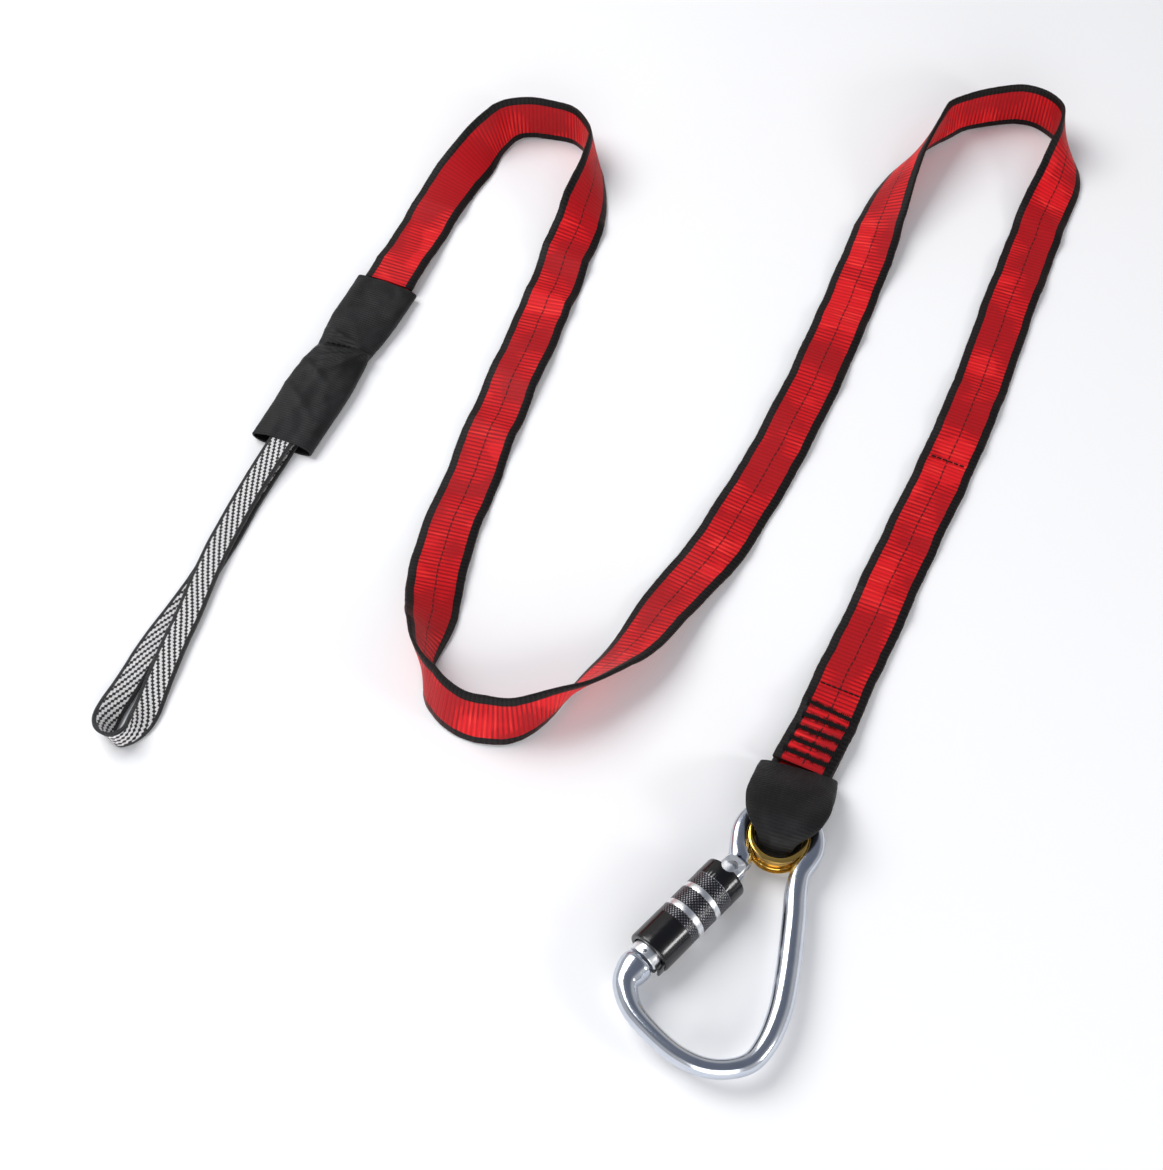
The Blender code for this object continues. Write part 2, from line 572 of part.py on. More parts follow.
def main():
    """Build every piece."""
    for old in list(bpy.data.objects):
        bpy.data.objects.remove(old)
    red = material("red_webbing", "c8141e", 0.8)
    check = material("checked_webbing", "8c8b89", 0.85)
    fabric = material("black_fabric", "232325", 0.9)
    thread = material("black_thread", "141416", 0.8)
    forged = material("polished_alloy", "c9ccd2", 0.18, 1.0)
    gold = material("gold_anodised", "c8962f", 0.25, 1.0)
    black = material("black_anodised", "1d1c20", 0.3, 0.6)
    steel = material("spring_steel", "a7a9ad", 0.3, 1.0)

    strap = ribbon_frames(STRAP_ROUTE, STRAP_SAMPLES, STRAP_WIDTH, STRAP_THICK)
    webbing("strap_webbing", strap, STRAP_WIDTH, STRAP_THICK, red)
    loop = ribbon_frames(LOOP_ROUTE, LOOP_SAMPLES, LOOP_WIDTH, LOOP_THICK)
    webbing("tool_loop", loop, LOOP_WIDTH, LOOP_THICK, check)
    strap_fold(red)
    wear_cover(fabric)
    join(fabric, thread, red)
    for i in range(TACK_COUNT):
        tack("bar_tack_%d" % (i + 1), strap, TACK_FIRST + TACK_PITCH * i, TACK_LENGTH,
             TACK_WIDTH, thread)
    tack("end_stitch_row", strap, END_ROW_FROM_COVER, TACK_LENGTH, ROW_WIDTH, thread)
    tack("mid_stitch_row", strap, MID_ROW_FROM_COVER, TACK_LENGTH, ROW_WIDTH, thread)

    frame = add_empty("carabiner_frame", EYE, BODY_TURN)
    gate_frame = add_empty("gate_frame", HINGE, GATE_TURN, frame)
    carabiner_body(forged, frame, gate_frame)
    bush_half("bush_upper_half", 1, gold, frame)
    bush_half("bush_lower_half", -1, gold, frame)
    gate_arm(forged, gate_frame)
    rod("gate_hinge_rivet", -4.7 * MM, 4.7 * MM, RIVET_RADIUS, steel, gate_frame, axis="Z")
    latch = rod("gate_latch_pin", -6.3 * MM, 6.3 * MM, LATCH_RADIUS, steel, gate_frame,
                axis="Z", sides=16)
    latch.location.x = LATCH_AT
    guide = rod("sleeve_guide_pin", 1.8 * MM, GUIDE_TOP, LATCH_RADIUS, steel, gate_frame,
                axis="Z", sides=16)
    guide.location.x = GUIDE_AT
    rod("gate_plunger", 3.7 * MM, 8.7 * MM, SPRING_BORE - GAP, steel, gate_frame, sides=16)
    helix("gate_spring", 9.0 * MM, SPRING_BORE_END - GAP, 1.2 * MM, 0.22 * MM, 9, steel,
          gate_frame, per_turn=10, sides=4)
    helix("sleeve_spring", SEAT_AT + SEAT_THICK + GAP, COLLAR_AT - GAP, COIL_RADIUS, COIL_WIRE,
          6, steel, gate_frame)
    turned("sleeve_spring_seat", (
        (SEAT_AT, GATE_RADIUS + GAP), (SEAT_AT, CLIP_OUTER),
        (SEAT_AT + SEAT_THICK, CLIP_OUTER), (SEAT_AT + SEAT_THICK, GATE_RADIUS + GAP)),
        steel, gate_frame, steps=32)
    turned("sleeve_slide_collar", (
        (COLLAR_AT, GATE_RADIUS + GAP), (COLLAR_AT, COLLAR_OUTER),
        (COLLAR_AT + COLLAR_LENGTH, COLLAR_OUTER),
        (COLLAR_AT + COLLAR_LENGTH, GATE_RADIUS + GAP)), steel, gate_frame, steps=32)
    retaining_clip(steel, gate_frame)
    locking_sleeve(black, gate_frame)


main()
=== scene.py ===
"""Tool lanyard: woven strap, tool loop and fabric covers, and a captive-eye carabiner.

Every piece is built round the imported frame, in metres and in its coordinates.
"""

import math
from functools import partial

import bmesh
import bpy
from mathutils import Matrix, Vector, noise


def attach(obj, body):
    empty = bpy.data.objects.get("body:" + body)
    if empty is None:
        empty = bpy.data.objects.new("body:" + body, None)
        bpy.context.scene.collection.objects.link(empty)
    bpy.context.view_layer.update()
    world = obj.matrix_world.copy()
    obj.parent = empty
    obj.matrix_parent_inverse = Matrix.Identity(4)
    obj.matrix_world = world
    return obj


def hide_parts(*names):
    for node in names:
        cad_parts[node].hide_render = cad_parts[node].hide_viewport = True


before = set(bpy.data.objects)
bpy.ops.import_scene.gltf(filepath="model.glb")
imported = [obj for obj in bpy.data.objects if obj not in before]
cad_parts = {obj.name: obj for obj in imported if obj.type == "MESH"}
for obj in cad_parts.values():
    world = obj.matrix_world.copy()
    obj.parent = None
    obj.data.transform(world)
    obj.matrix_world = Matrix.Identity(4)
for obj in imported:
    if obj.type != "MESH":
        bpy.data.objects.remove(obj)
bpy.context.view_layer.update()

MM = 0.001
UP = Vector((0, 0, 1))

# ---------------------------------------------------------------- routes, as in the frame
STRAP_WIDTH = 25.0 * MM
STRAP_THICK = 1.8 * MM
# x, y and height of the lower edge in millimetres, and the roll in degrees
STRAP_ROUTE = (
    (-46.1, 198.8, 2.8, 180), (-19.8, 264.0, 0.1, 172), (-7.7, 285.8, 0.1, 148),
    (3.3, 299.8, 0.1, 118), (17.3, 309.1, 0.1, 98), (44.3, 304.8, 0.1, 88),
    (53.3, 289.8, 0.1, 83), (54.8, 268.8, 0.1, 62), (49.8, 247.3, 0.1, 28),
    (42.3, 221.8, 0.1, 6), (-1.1, 79.6, 0.1, 0), (-12.5, 34.1, 0.1, 6),
    (-15.8, 0.8, 0.1, 34), (-17.8, -26.2, 0.1, 82), (-12.7, -41.2, 0.1, 104),
    (1.3, -52.7, 0.1, 108), (19.3, -56.5, 0.1, 105), (36.3, -48.7, 0.1, 86),
    (52.3, -35.2, 0.1, 56), (70.3, -17.2, 0.1, 32), (87.3, 8.8, 0.1, 14),
    (109.3, 40.1, 0.1, 0), (143.1, 103.2, 0.1, 0), (176.9, 180.9, 0.1, 0),
    (192.3, 220.8, 0.1, 8), (207.9, 260.8, 0.1, 38), (225.8, 290.3, 0.1, 70),
    (242.3, 308.8, 0.1, 90), (263.3, 318.8, 0.1, 92), (285.3, 319.8, 0.1, 90),
    (297.3, 307.8, 0.1, 88), (298.8, 290.8, 0.1, 64), (294.8, 272.8, 0.1, 28),
    (283.6, 248.6, 0.1, 5), (260.3, 192.3, 0.1, 0), (231.2, 120.6, 0.1, 0),
    (195.2, 44.9, 0.1, 0), (167.3, -13.2, 1.0, 0), (155.3, -38.2, 2.8, 0),
    (137.9, -73.4, 4.7, 0),
)
LOOP_WIDTH = 11.6 * MM
LOOP_THICK = 1.4 * MM
# the tool loop's route, in the same four measures
LOOP_ROUTE = (
    (-65.0, 154.0, 4.9, 0), (-89.3, 96.8, 4.9, 0), (-102.6, 66.2, 2.4, 0),
    (-110.4, 43.4, 1.8, 0), (-116.3, 22.0, 1.8, 0), (-120.5, 3.6, 1.8, 0),
    (-124.0, -9.3, 1.7, 0), (-127.2, -23.3, 1.5, 2), (-129.9, -35.6, 0.9, 8),
    (-131.7, -45.6, 0.4, 24), (-133.8, -53.0, 0.0, 52), (-137.2, -58.2, 0.0, 80),
    (-141.8, -60.2, 0.0, 94), (-145.9, -58.0, 0.0, 112), (-147.6, -52.0, 0.0, 138),
    (-146.2, -43.4, 0.0, 160), (-142.8, -33.6, 0.1, 172), (-138.8, -22.2, 0.1, 180),
    (-133.0, -8.2, 0.1, 180), (-126.4, 4.8, 0.1, 180), (-118.1, 22.0, 0.1, 180),
    (-109.4, 43.4, 0.1, 180), (-101.4, 65.9, 0.1, 180), (-88.4, 96.8, 1.1, 180),
    (-65.0, 154.0, 1.1, 180),
)
JOIN_TOP = Vector((-46.7, 197.4, 0.0)) * MM
JOIN_BOTTOM = Vector((-89.1, 97.4, 0.0)) * MM
SEWN_LENGTH = 62.0 * MM

# ---------------------------------------------------------------- the carabiner's own frame
EYE = Vector((125.7, -108.2, 9.2)) * MM
BODY_TURN = math.radians(-14.6)
EYE_RADIUS = 14.5      # to the middle of the rod round the captive eye, in millimetres
# rod of the body: x, y, width, thickness in millimetres, and its corners' cut
BODY_ROD = (
    (-40.57, -63.02, 13.2, 12.6, 0.5), (-42.5, -66.9, 12.6, 12.0, 0.55),
    (-43.6, -72.4, 10.0, 9.8, 0.6), (-39.4, -81.0, 8.2, 8.4, 0.6),
    (-29.5, -88.8, 7.4, 8.4, 0.6), (-18.0, -94.6, 7.2, 8.4, 0.6),
    (-8.0, -96.4, 7.2, 8.4, 0.6), (1.0, -94.6, 7.2, 8.4, 0.6),
    (7.8, -90.2, 7.6, 8.4, 0.6), (12.0, -81.5, 8.4, 8.4, 0.6),
    (14.2, -69.0, 9.0, 8.6, 0.6), (14.2, -55.0, 9.2, 8.6, 0.6),
    (13.3, -42.0, 9.2, 8.6, 0.6), (12.2, -30.0, 9.2, 8.6, 0.6),
    (11.0, -20.0, 8.8, 8.4, 0.5), (11.2, -12.0, 7.8, 8.0, 0.35),
)
EYE_ANGLES = (-25, -10, 5, 20, 35, 50, 65, 80, 95, 110, 125, 140, 155, 170, 182)
BODY_SHOULDER = ((-14.2, -4.4, 8.0, 8.2, 0.3), (-13.3, -8.6, 8.8, 8.8, 0.3),
                 (-12.25, -12.35, 9.4, 9.0, 0.3))
HINGE = Vector((-14.8, -17.1, 0.0)) * MM
GATE_TURN = math.radians(240.7)
FOLD_TURN = math.radians(71.6)
# the fold through the eye: reach from the eye's axis, height, webbing width, cover width
FOLD_PATH = (
    (34.5, 5.7, 25.0, 32.4), (27.0, 10.8, 25.0, 34.8), (20.0, 15.0, 24.0, 36.0),
    (13.0, 17.6, 22.0, 34.6), (7.0, 18.8, 19.0, 29.6), (1.5, 18.4, 15.0, 22.0),
    (-2.8, 16.2, 11.5, 15.0), (-4.4, 12.6, 10.4, 13.4), (-4.6, 9.2, 10.4, 13.4),
    (-4.2, 5.8, 10.4, 13.4), (-1.5, 2.9, 11.5, 15.2), (5.0, 1.95, 14.0, 21.0),
    (13.0, 1.95, 18.0, 28.0), (20.0, 1.95, 22.0, 32.6), (28.0, 1.95, 25.0, 34.0),
    (34.5, 1.95, 25.0, 33.0),
)
# the fold's tail, laid back under the strap
TAIL_ROUTE = ((143.7, -62.0, 1.6), (150.3, -48.6, 1.2), (155.7, -37.6, 1.1))


# ---------------------------------------------------------------- nodes and materials
def hex_linear(code):
    """Linear colour from an sRGB hex code."""
    parts = [int(code[i:i + 2], 16) / 255 for i in (0, 2, 4)]
    return [c / 12.92 if c <= 0.04045 else ((c + 0.055) / 1.055) ** 2.4 for c in parts] + [1.0]


def fill_sockets(made, sockets):
    """Fill a node's sockets, in their order or by name: another node's output is linked, a
    text is an sRGB code, and anything else is the value itself."""
    for key, value in sockets.items() if isinstance(sockets, dict) else enumerate(sockets):
        if isinstance(value, bpy.types.NodeSocket):
            made.id_data.links.new(value, made.inputs[key])
        else:
            made.inputs[key].default_value = hex_linear(value) if isinstance(value, str) else value


def add_node(tree, kind, sockets=(), output=0, **settings):
    """Add a shader node with its settings and links, and give back one of its outputs."""
    made = tree.nodes.new("ShaderNode" + kind)
    for key, value in settings.items():
        setattr(made, key, value)
    fill_sockets(made, sockets)
    return made.outputs[output]


def plug(shader, **sockets):
    """Fill a shader's sockets, named with underscores for spaces."""
    fill_sockets(shader, {key.replace("_", " "): value for key, value in sockets.items()})


def new_material(name, **sockets):
    """A Principled material, its shader, and add_node for its tree."""
    made = bpy.data.materials.new(name)
    made.use_nodes = True
    shader = made.node_tree.nodes["Principled BSDF"]
    plug(shader, **sockets)
    return made, shader, partial(add_node, made.node_tree)


def cloth_axes(node):
    """The cloth map's two axes: metres along and metres across."""
    along = node("SeparateXYZ", (node("UVMap", uv_map="cloth"),))
    return along, along.node.outputs[1]


BACK = 0.1              # the cloth map's offset for the back face, in metres
EDGE = 0.01             # and the further offset for each strip of an edge
PAST_FRONT = 0.06       # a place across that only the back face's map goes beyond
RIB = 2.1 * MM          # pitch of the strap's cross ribs
STRAP_WAVE = 1.5 * MM   # how far the creases of worked webbing stand off


def woven_red():
    """Polyester webbing, woven: red body with close cross ribs, black ribbed selvages and,
    on one face, a dark dashed seam down the middle. A matt surface with a soft sheen. Light and
    shade are painted into its colour: darker rib valleys and lighter crowns, darker and lighter
    patches, and single ribs painted bright as glints."""
    made, shader, node = new_material("polyester_webbing_red", Roughness=0.5, Sheen_Weight=0.25,
                                      Sheen_Roughness=0.3, Sheen_Tint="ff8478",
                                      Specular_IOR_Level=0.18)
    spot = node("TexCoord", output="Object")
    along, across = cloth_axes(node)
    on_back = node("Math", (across, PAST_FRONT), operation="GREATER_THAN")
    offset = node("Math", (on_back, BACK), operation="MULTIPLY")
    place = node("Math", (across, offset), operation="SUBTRACT")
    from_middle = node("Math", (node("Math", (place, STRAP_WIDTH / 2), operation="SUBTRACT"),),
                       operation="ABSOLUTE")
    wander = node("TexNoise", {"Vector": spot, "Scale": 260.0, "Detail": 2.0})
    edge = node("Math", (wander, 0.5 * MM, from_middle), operation="MULTIPLY_ADD")
    selvage = node("MapRange", (edge, 9.05 * MM, 9.35 * MM), interpolation_type="SMOOTHSTEP")
    # rib phase, from the valley between two ribs to the crown of one
    turn = node("Math", (along, math.tau / RIB), operation="MULTIPLY")
    rib = node("Math", (node("Math", (turn,), operation="COSINE"), 0.5, 0.5),
               operation="MULTIPLY_ADD")
    # single picks and ends, finer than the ribs
    pick = node("Math", (node("Math", (along, math.tau / (0.4 * MM)), operation="MULTIPLY"),),
                operation="SINE")
    end = node("Math", (node("Math", (place, math.tau / (0.55 * MM)), operation="MULTIPLY"),),
               operation="SINE")
    thread = node("Math", (pick, end), operation="MULTIPLY")
    stretched = node("CombineXYZ",
                     {0: node("Math", (along, 1400.0), operation="MULTIPLY"),
                      1: node("Math", (place, 60.0), operation="MULTIPLY"), 2: on_back})
    streak = node("TexNoise", {"Vector": stretched, "Scale": 1.0, "Detail": 2.0})
    patch = node("TexNoise", {"Vector": spot, "Scale": 30.0, "Detail": 2.0})
    # painted shade and light: the red is darker in the valleys between ribs and lighter on their
    # crowns
    rib_valley_painted_shade = node("Mix", {0: streak, 6: "74040b", 7: "a30710"}, 2, data_type="RGBA")
    rib_crown_painted_light = node("Mix", {0: streak, 6: "bb0913", 7: "dc141d"}, 2, data_type="RGBA")
    red = node("Mix",
               {0: node("MapRange", (rib, 0.0, 0.75), interpolation_type="SMOOTHSTEP"), 6: rib_valley_painted_shade,
                7: rib_crown_painted_light}, 2, data_type="RGBA")
    # painted shade and light: noise patches darken the red and others lighten it, as the shade and
    # light of creased cloth
    painted_shade_patch = node("Math",
                   (1.0, node("MapRange", (patch, 0.43, 0.5), interpolation_type="SMOOTHSTEP")),
                   operation="SUBTRACT")
    red = node("Mix", {0: node("Math", (painted_shade_patch, 0.75), operation="MULTIPLY"), 6: red, 7: "9c0a13"},
               2, data_type="RGBA")
    painted_light_patch = node("MapRange", (patch, 0.54, 0.6), interpolation_type="SMOOTHSTEP")
    red = node("Mix", {0: node("Math", (painted_light_patch, 0.45), operation="MULTIPLY"), 6: red, 7: "ea1d24"}, 2,
               data_type="RGBA")
    # painted highlights: single ribs painted bright as glints, most where the lighter patches are
    row = node("CombineXYZ",
               {0: node("Math", (along, 0.9 / RIB), operation="MULTIPLY"),
                1: node("Math", (place, 45.0), operation="MULTIPLY"), 2: on_back})
    painted_glint_rib = node("MapRange",
                    (node("TexNoise", {"Vector": row, "Scale": 1.0, "Detail": 1.0}), 0.46, 0.68),
                    interpolation_type="SMOOTHSTEP")
    painted_glint_rib = node("Math",
                    (painted_glint_rib,
                     node("MapRange", (patch, 0.46, 0.62), interpolation_type="SMOOTHSTEP")),
                    operation="MULTIPLY")
    painted_glint_rib = node("Math",
                    (painted_glint_rib, node("MapRange", (rib, 0.45, 0.9), interpolation_type="SMOOTHSTEP")),
                    operation="MULTIPLY")
    red = node("Mix", {0: node("Math", (painted_glint_rib, 0.7), operation="MULTIPLY"), 6: red, 7: "fa4038"},
               2, data_type="RGBA")
    # the black selvage is painted lighter on the rib crowns, as their highlights
    black = node("Mix", {0: rib, 6: "040303", 7: "171414"}, 2, data_type="RGBA")
    colour = node("Mix", {0: selvage, 6: red, 7: black}, 2, data_type="RGBA")
    # dashed seam on the front face: a 2.3 mm stitch every 3.4 mm
    dash = node("Math", (node("Math", (along, 1 / (3.4 * MM)), operation="MULTIPLY"),),
                operation="FRACT")
    dash = node("Math", (dash, 0.66), operation="LESS_THAN")
    seam = node("Math",
                (1.0,
                 node("MapRange", (from_middle, 0.22 * MM, 0.5 * MM),
                      interpolation_type="SMOOTHSTEP")), operation="SUBTRACT")
    seam = node("Math", (seam, node("Math", (1.0, on_back), operation="SUBTRACT")),
                operation="MULTIPLY")
    stitch = node("Math", (seam, dash), operation="MULTIPLY")
    colour = node("Mix",
                  {0: node("Math", (seam, 0.35), operation="MULTIPLY"), 6: colour, 7: "7a0a12"}, 2,
                  data_type="RGBA")
    colour = node("Mix",
                  {0: node("Math", (stitch, 0.75), operation="MULTIPLY"), 6: colour, 7: "2a0c10"},
                  2, data_type="RGBA")
    plug(shader, Base_Color=colour)
    lift = node("Math", (thread, 0.16, node("Math", (streak, 0.5), operation="MULTIPLY")),
                operation="MULTIPLY_ADD")
    lift = node("Math", (stitch, 0.8, lift), operation="MULTIPLY_ADD")
    plug(shader, Normal=node("Bump", {"Height": lift, "Distance": 0.12 * MM, "Strength": 0.8}))
    return made


def woven_check():
    """Narrow webbing woven in black and white: rows of black beads between white bands,
    slanting across the cloth, with thin black selvages. Dry and matt."""
    made, shader, node = new_material("nylon_webbing_checked", Roughness=0.7, Sheen_Weight=0.2,
                                      Sheen_Roughness=0.5, Specular_IOR_Level=0.3)
    spot = node("TexCoord", output="Object")
    along, across = cloth_axes(node)
    on_back = node("Math", (across, PAST_FRONT), operation="GREATER_THAN")
    # the back's map runs from the far edge, so both faces get one measure across
    turned = node("Math", (BACK + LOOP_WIDTH, across), operation="SUBTRACT")
    place = node("Mix", {0: on_back, 2: across, 3: turned})
    slant = math.radians(20.5)
    row_pitch, bead_pitch = 2.35 * MM, 1.85 * MM
    row = node("Math",
               (node("Math", (along, math.sin(slant) / row_pitch), operation="MULTIPLY"),
                node("Math", (place, math.cos(slant) / row_pitch), operation="MULTIPLY")),
               operation="ADD")
    bead = node("Math",
                (node("Math", (along, math.cos(slant) / bead_pitch), operation="MULTIPLY"),
                 node("Math", (place, math.sin(slant) / bead_pitch), operation="MULTIPLY")),
                operation="SUBTRACT")
    # every other row's beads are half a step on
    shift = node("Math", (node("Math", (row,), operation="FLOOR"), 0.5), operation="MULTIPLY")
    bead = node("Math", (bead, shift), operation="ADD")
    off_row = node("Math",
                   (node("Math", (node("Math", (row,), operation="FRACT"), 0.5),
                         operation="SUBTRACT"),), operation="ABSOLUTE")
    swell = node("Math", (node("Math", (bead, math.tau), operation="MULTIPLY"),),
                 operation="COSINE")
    reach = node("Math", (swell, 0.13, 0.23), operation="MULTIPLY_ADD")
    dark = node("Math", (reach, off_row), operation="SUBTRACT")
    dark = node("MapRange", (dark, -0.03, 0.03), interpolation_type="SMOOTHSTEP")
    # white floats cut each other in short lengths
    cut = node("Math",
               (node("Math",
                     (node("Math", (bead, node("Math", (row, 0.5), operation="MULTIPLY")),
                           operation="ADD"), math.tau), operation="MULTIPLY"),), operation="COSINE")
    cut = node("MapRange", (cut, 0.72, 0.98), interpolation_type="SMOOTHSTEP")
    grain = node("TexNoise", {"Vector": spot, "Scale": 900.0, "Detail": 2.0})
    white = node("Mix", {0: grain, 6: "bfbdbe", 7: "e6e4e4"}, 2, data_type="RGBA")
    white = node("Mix", {0: node("Math", (cut, 0.35), operation="MULTIPLY"), 6: white, 7: "6b696a"},
                 2, data_type="RGBA")
    black = node("Mix", {0: grain, 6: "121113", 7: "2b292b"}, 2, data_type="RGBA")
    colour = node("Mix", {0: dark, 6: white, 7: black}, 2, data_type="RGBA")
    from_middle = node("Math", (node("Math", (place, LOOP_WIDTH / 2), operation="SUBTRACT"),),
                       operation="ABSOLUTE")
    selvage = node("MapRange", (from_middle, LOOP_WIDTH / 2 - 1.7 * MM, LOOP_WIDTH / 2 - 1.45 * MM),
                   interpolation_type="SMOOTHSTEP")
    colour = node("Mix", {0: selvage, 6: colour, 7: "19181a"}, 2, data_type="RGBA")
    plug(shader, Base_Color=colour)
    fine = node("Math", (node("Math", (along, math.tau / (0.5 * MM)), operation="MULTIPLY"),),
                operation="SINE")
    lift = node("Math", (fine, 0.12, node("Math", (dark, -0.7), operation="MULTIPLY")),
                operation="MULTIPLY_ADD")
    plug(shader, Normal=node("Bump", {"Height": lift, "Distance": 0.25 * MM, "Strength": 0.9}))
    return made


def woven_black(name, weft):
    """Polyester tubing, woven black: fine ribs across it and finer ends along it. Dull, with a
    faint grey sheen; the weft pitch is drawn coarse enough to show. Noise patches painted
    lighter and darker stand in for light and shade on its wrinkles."""
    made, shader, node = new_material(name, Roughness=0.56, Sheen_Weight=0.05, Sheen_Roughness=0.3,
                                      Sheen_Tint="d2d2d2", Specular_IOR_Level=0.22)
    spot = node("TexCoord", output="Object")
    along, across = cloth_axes(node)
    pick = node("Math", (node("Math", (along, math.tau / weft), operation="MULTIPLY"),),
                operation="SINE")
    end = node("Math", (node("Math", (across, math.tau / (0.9 * MM)), operation="MULTIPLY"),),
               operation="SINE")
    weave = node("Math", (node("Math", (pick, end), operation="MULTIPLY"), 0.45, pick),
                 operation="MULTIPLY_ADD")
    share = node("Math", (weave, 0.3, 0.5), operation="MULTIPLY_ADD")
    # painted light and shade: noise patches lighten the cloth, standing in for light on its wrinkles
    painted_wrinkle_light = node("MapRange",
                (node("TexNoise", {"Vector": spot, "Scale": 70.0, "Detail": 3.0}), 0.3, 0.7),
                interpolation_type="SMOOTHSTEP")
    low = node("Mix", {0: painted_wrinkle_light, 6: "070708", 7: "101011"}, 2, data_type="RGBA")
    high = node("Mix", {0: painted_wrinkle_light, 6: "0e0e0f", 7: "222224"}, 2, data_type="RGBA")
    plug(shader, Base_Color=node("Mix", {0: share, 6: low, 7: high}, 2, data_type="RGBA"))
    lint = node("TexNoise", {"Vector": spot, "Scale": 1500.0, "Detail": 2.0})
    lift = node("Math", (weave, 0.4, node("Math", (lint, 0.5), operation="MULTIPLY")),
                operation="MULTIPLY_ADD")
    plug(shader, Normal=node("Bump", {"Height": lift, "Distance": 0.14 * MM, "Strength": 0.9}))
    return made


def twisted_thread():
    """Bonded polyester sewing thread, black: tight twist lines and a low shine."""
    made, shader, node = new_material("bonded_thread_black", Roughness=0.75, Specular_IOR_Level=0.15)
    spot = node("TexCoord", output="Object")
    fibre = node("TexNoise", {"Vector": spot, "Scale": 2200.0, "Detail": 2.0})
    plug(shader, Base_Color=node("Mix", {0: fibre, 6: "060505", 7: "1a1718"}, 2, data_type="RGBA"))
    plug(shader, Normal=node("Bump", {"Height": fibre, "Distance": 0.08 * MM, "Strength": 1.0}))
    return made


def polished_alloy():
    """Aluminium alloy, forged and polished: mirror-like, with faint polishing lines and a slow
    unevenness left by the forging that bends its reflections."""
    made, shader, node = new_material("aluminium_forged_polished", Metallic=1.0, Roughness=0.13)
    spot = node("TexCoord", output="Object")
    smear = node("TexNoise", {"Vector": spot, "Scale": 90.0, "Detail": 3.0})
    plug(shader, Base_Color=node("Mix", {0: smear, 6: "b9c1cf", 7: "d9dde5"}, 2, data_type="RGBA"))
    fine = node("TexNoise", {"Vector": spot, "Scale": 900.0, "Detail": 3.0})
    rough = node("Math", (fine, 0.08, 0.13), operation="MULTIPLY_ADD")
    plug(shader, Roughness=rough)
    slow = node("TexNoise", {"Vector": spot, "Scale": 140.0, "Detail": 2.0})
    wave = node("Bump", {"Height": slow, "Distance": 0.12 * MM, "Strength": 0.5})
    plug(shader,
         Normal=node("Bump",
                     {"Height": fine, "Distance": 0.01 * MM, "Strength": 0.6, "Normal": wave}))
    return made


def anodised(name, dark, light, roughness, metallic, coat):
    """Anodised aluminium, turned: even colour under a clear hard skin, with the faint rings of
    the lathe left in it."""
    made, shader, node = new_material(name, Metallic=metallic, Roughness=roughness,
                                      Coat_Weight=coat, Coat_Roughness=0.08)
    spot = node("TexCoord", output="Object")
    tint = node("TexNoise", {"Vector": spot, "Scale": 120.0, "Detail": 3.0})
    plug(shader, Base_Color=node("Mix", {0: tint, 6: dark, 7: light}, 2, data_type="RGBA"))
    fine = node("TexNoise", {"Vector": spot, "Scale": 1400.0, "Detail": 2.0})
    plug(shader, Roughness=node("Math", (fine, 0.1, roughness - 0.05), operation="MULTIPLY_ADD"))
    plug(shader, Normal=node("Bump", {"Height": fine, "Distance": 0.01 * MM, "Strength": 0.5}))
    return made


def spring_steel():
    """Spring steel, drawn and bright: clean metal with fine drawing marks."""
    made, shader, node = new_material("spring_steel_drawn", Metallic=1.0, Roughness=0.28)
    spot = node("TexCoord", output="Object")
    mark = node("TexNoise", {"Vector": spot, "Scale": 700.0, "Detail": 4.0})
    plug(shader, Base_Color=node("Mix", {0: mark, 6: "8f9298", 7: "b9bcc2"}, 2, data_type="RGBA"))
    plug(shader, Roughness=node("Math", (mark, 0.16, 0.2), operation="MULTIPLY_ADD"))
    plug(shader, Normal=node("Bump", {"Height": mark, "Distance": 0.01 * MM, "Strength": 0.6}))
    return made


RED = woven_red()
CHECK = woven_check()
SHEATH = woven_black("polyester_sheath_black", 1.3 * MM)
THREAD = twisted_thread()
ALLOY = polished_alloy()
GOLD = anodised("aluminium_anodised_gold", "d6a646", "efca72", 0.16, 1.0, 0.2)
BLACK = anodised("aluminium_anodised_black", "070608", "0f0e10", 0.2, 0.1, 0.1)
BRIGHT = anodised("aluminium_turned_bright", "dfe1e4", "f2f3f5", 0.32, 1.0, 0.0)
# painted highlight: a lighter grey for the knurl's crests, as their glints
KNURL_CREST_GLINT = anodised("aluminium_anodised_painted_glint", "4c4c51", "7c7c82", 0.32, 0.85, 0.0)
STEEL = spring_steel()


# ---------------------------------------------------------------- mesh tools
def finish_piece(bm, name, body, finishes, replaced=(), angle=40.0):
    """Turn a bmesh into a piece that rides on a body and stands for CAD nodes."""
    bmesh.ops.recalc_face_normals(bm, faces=bm.faces)
    mesh = bpy.data.meshes.new(name)
    bm.to_mesh(mesh)
    bm.free()
    mesh.shade_smooth()
    mesh.set_sharp_from_angle(angle=math.radians(angle))
    for finish in finishes:
        mesh.materials.append(finish)
    piece = bpy.data.objects.new(name, mesh)
    bpy.context.collection.objects.link(piece)
    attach(piece, body)
    if replaced:
        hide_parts(*replaced)
    return piece


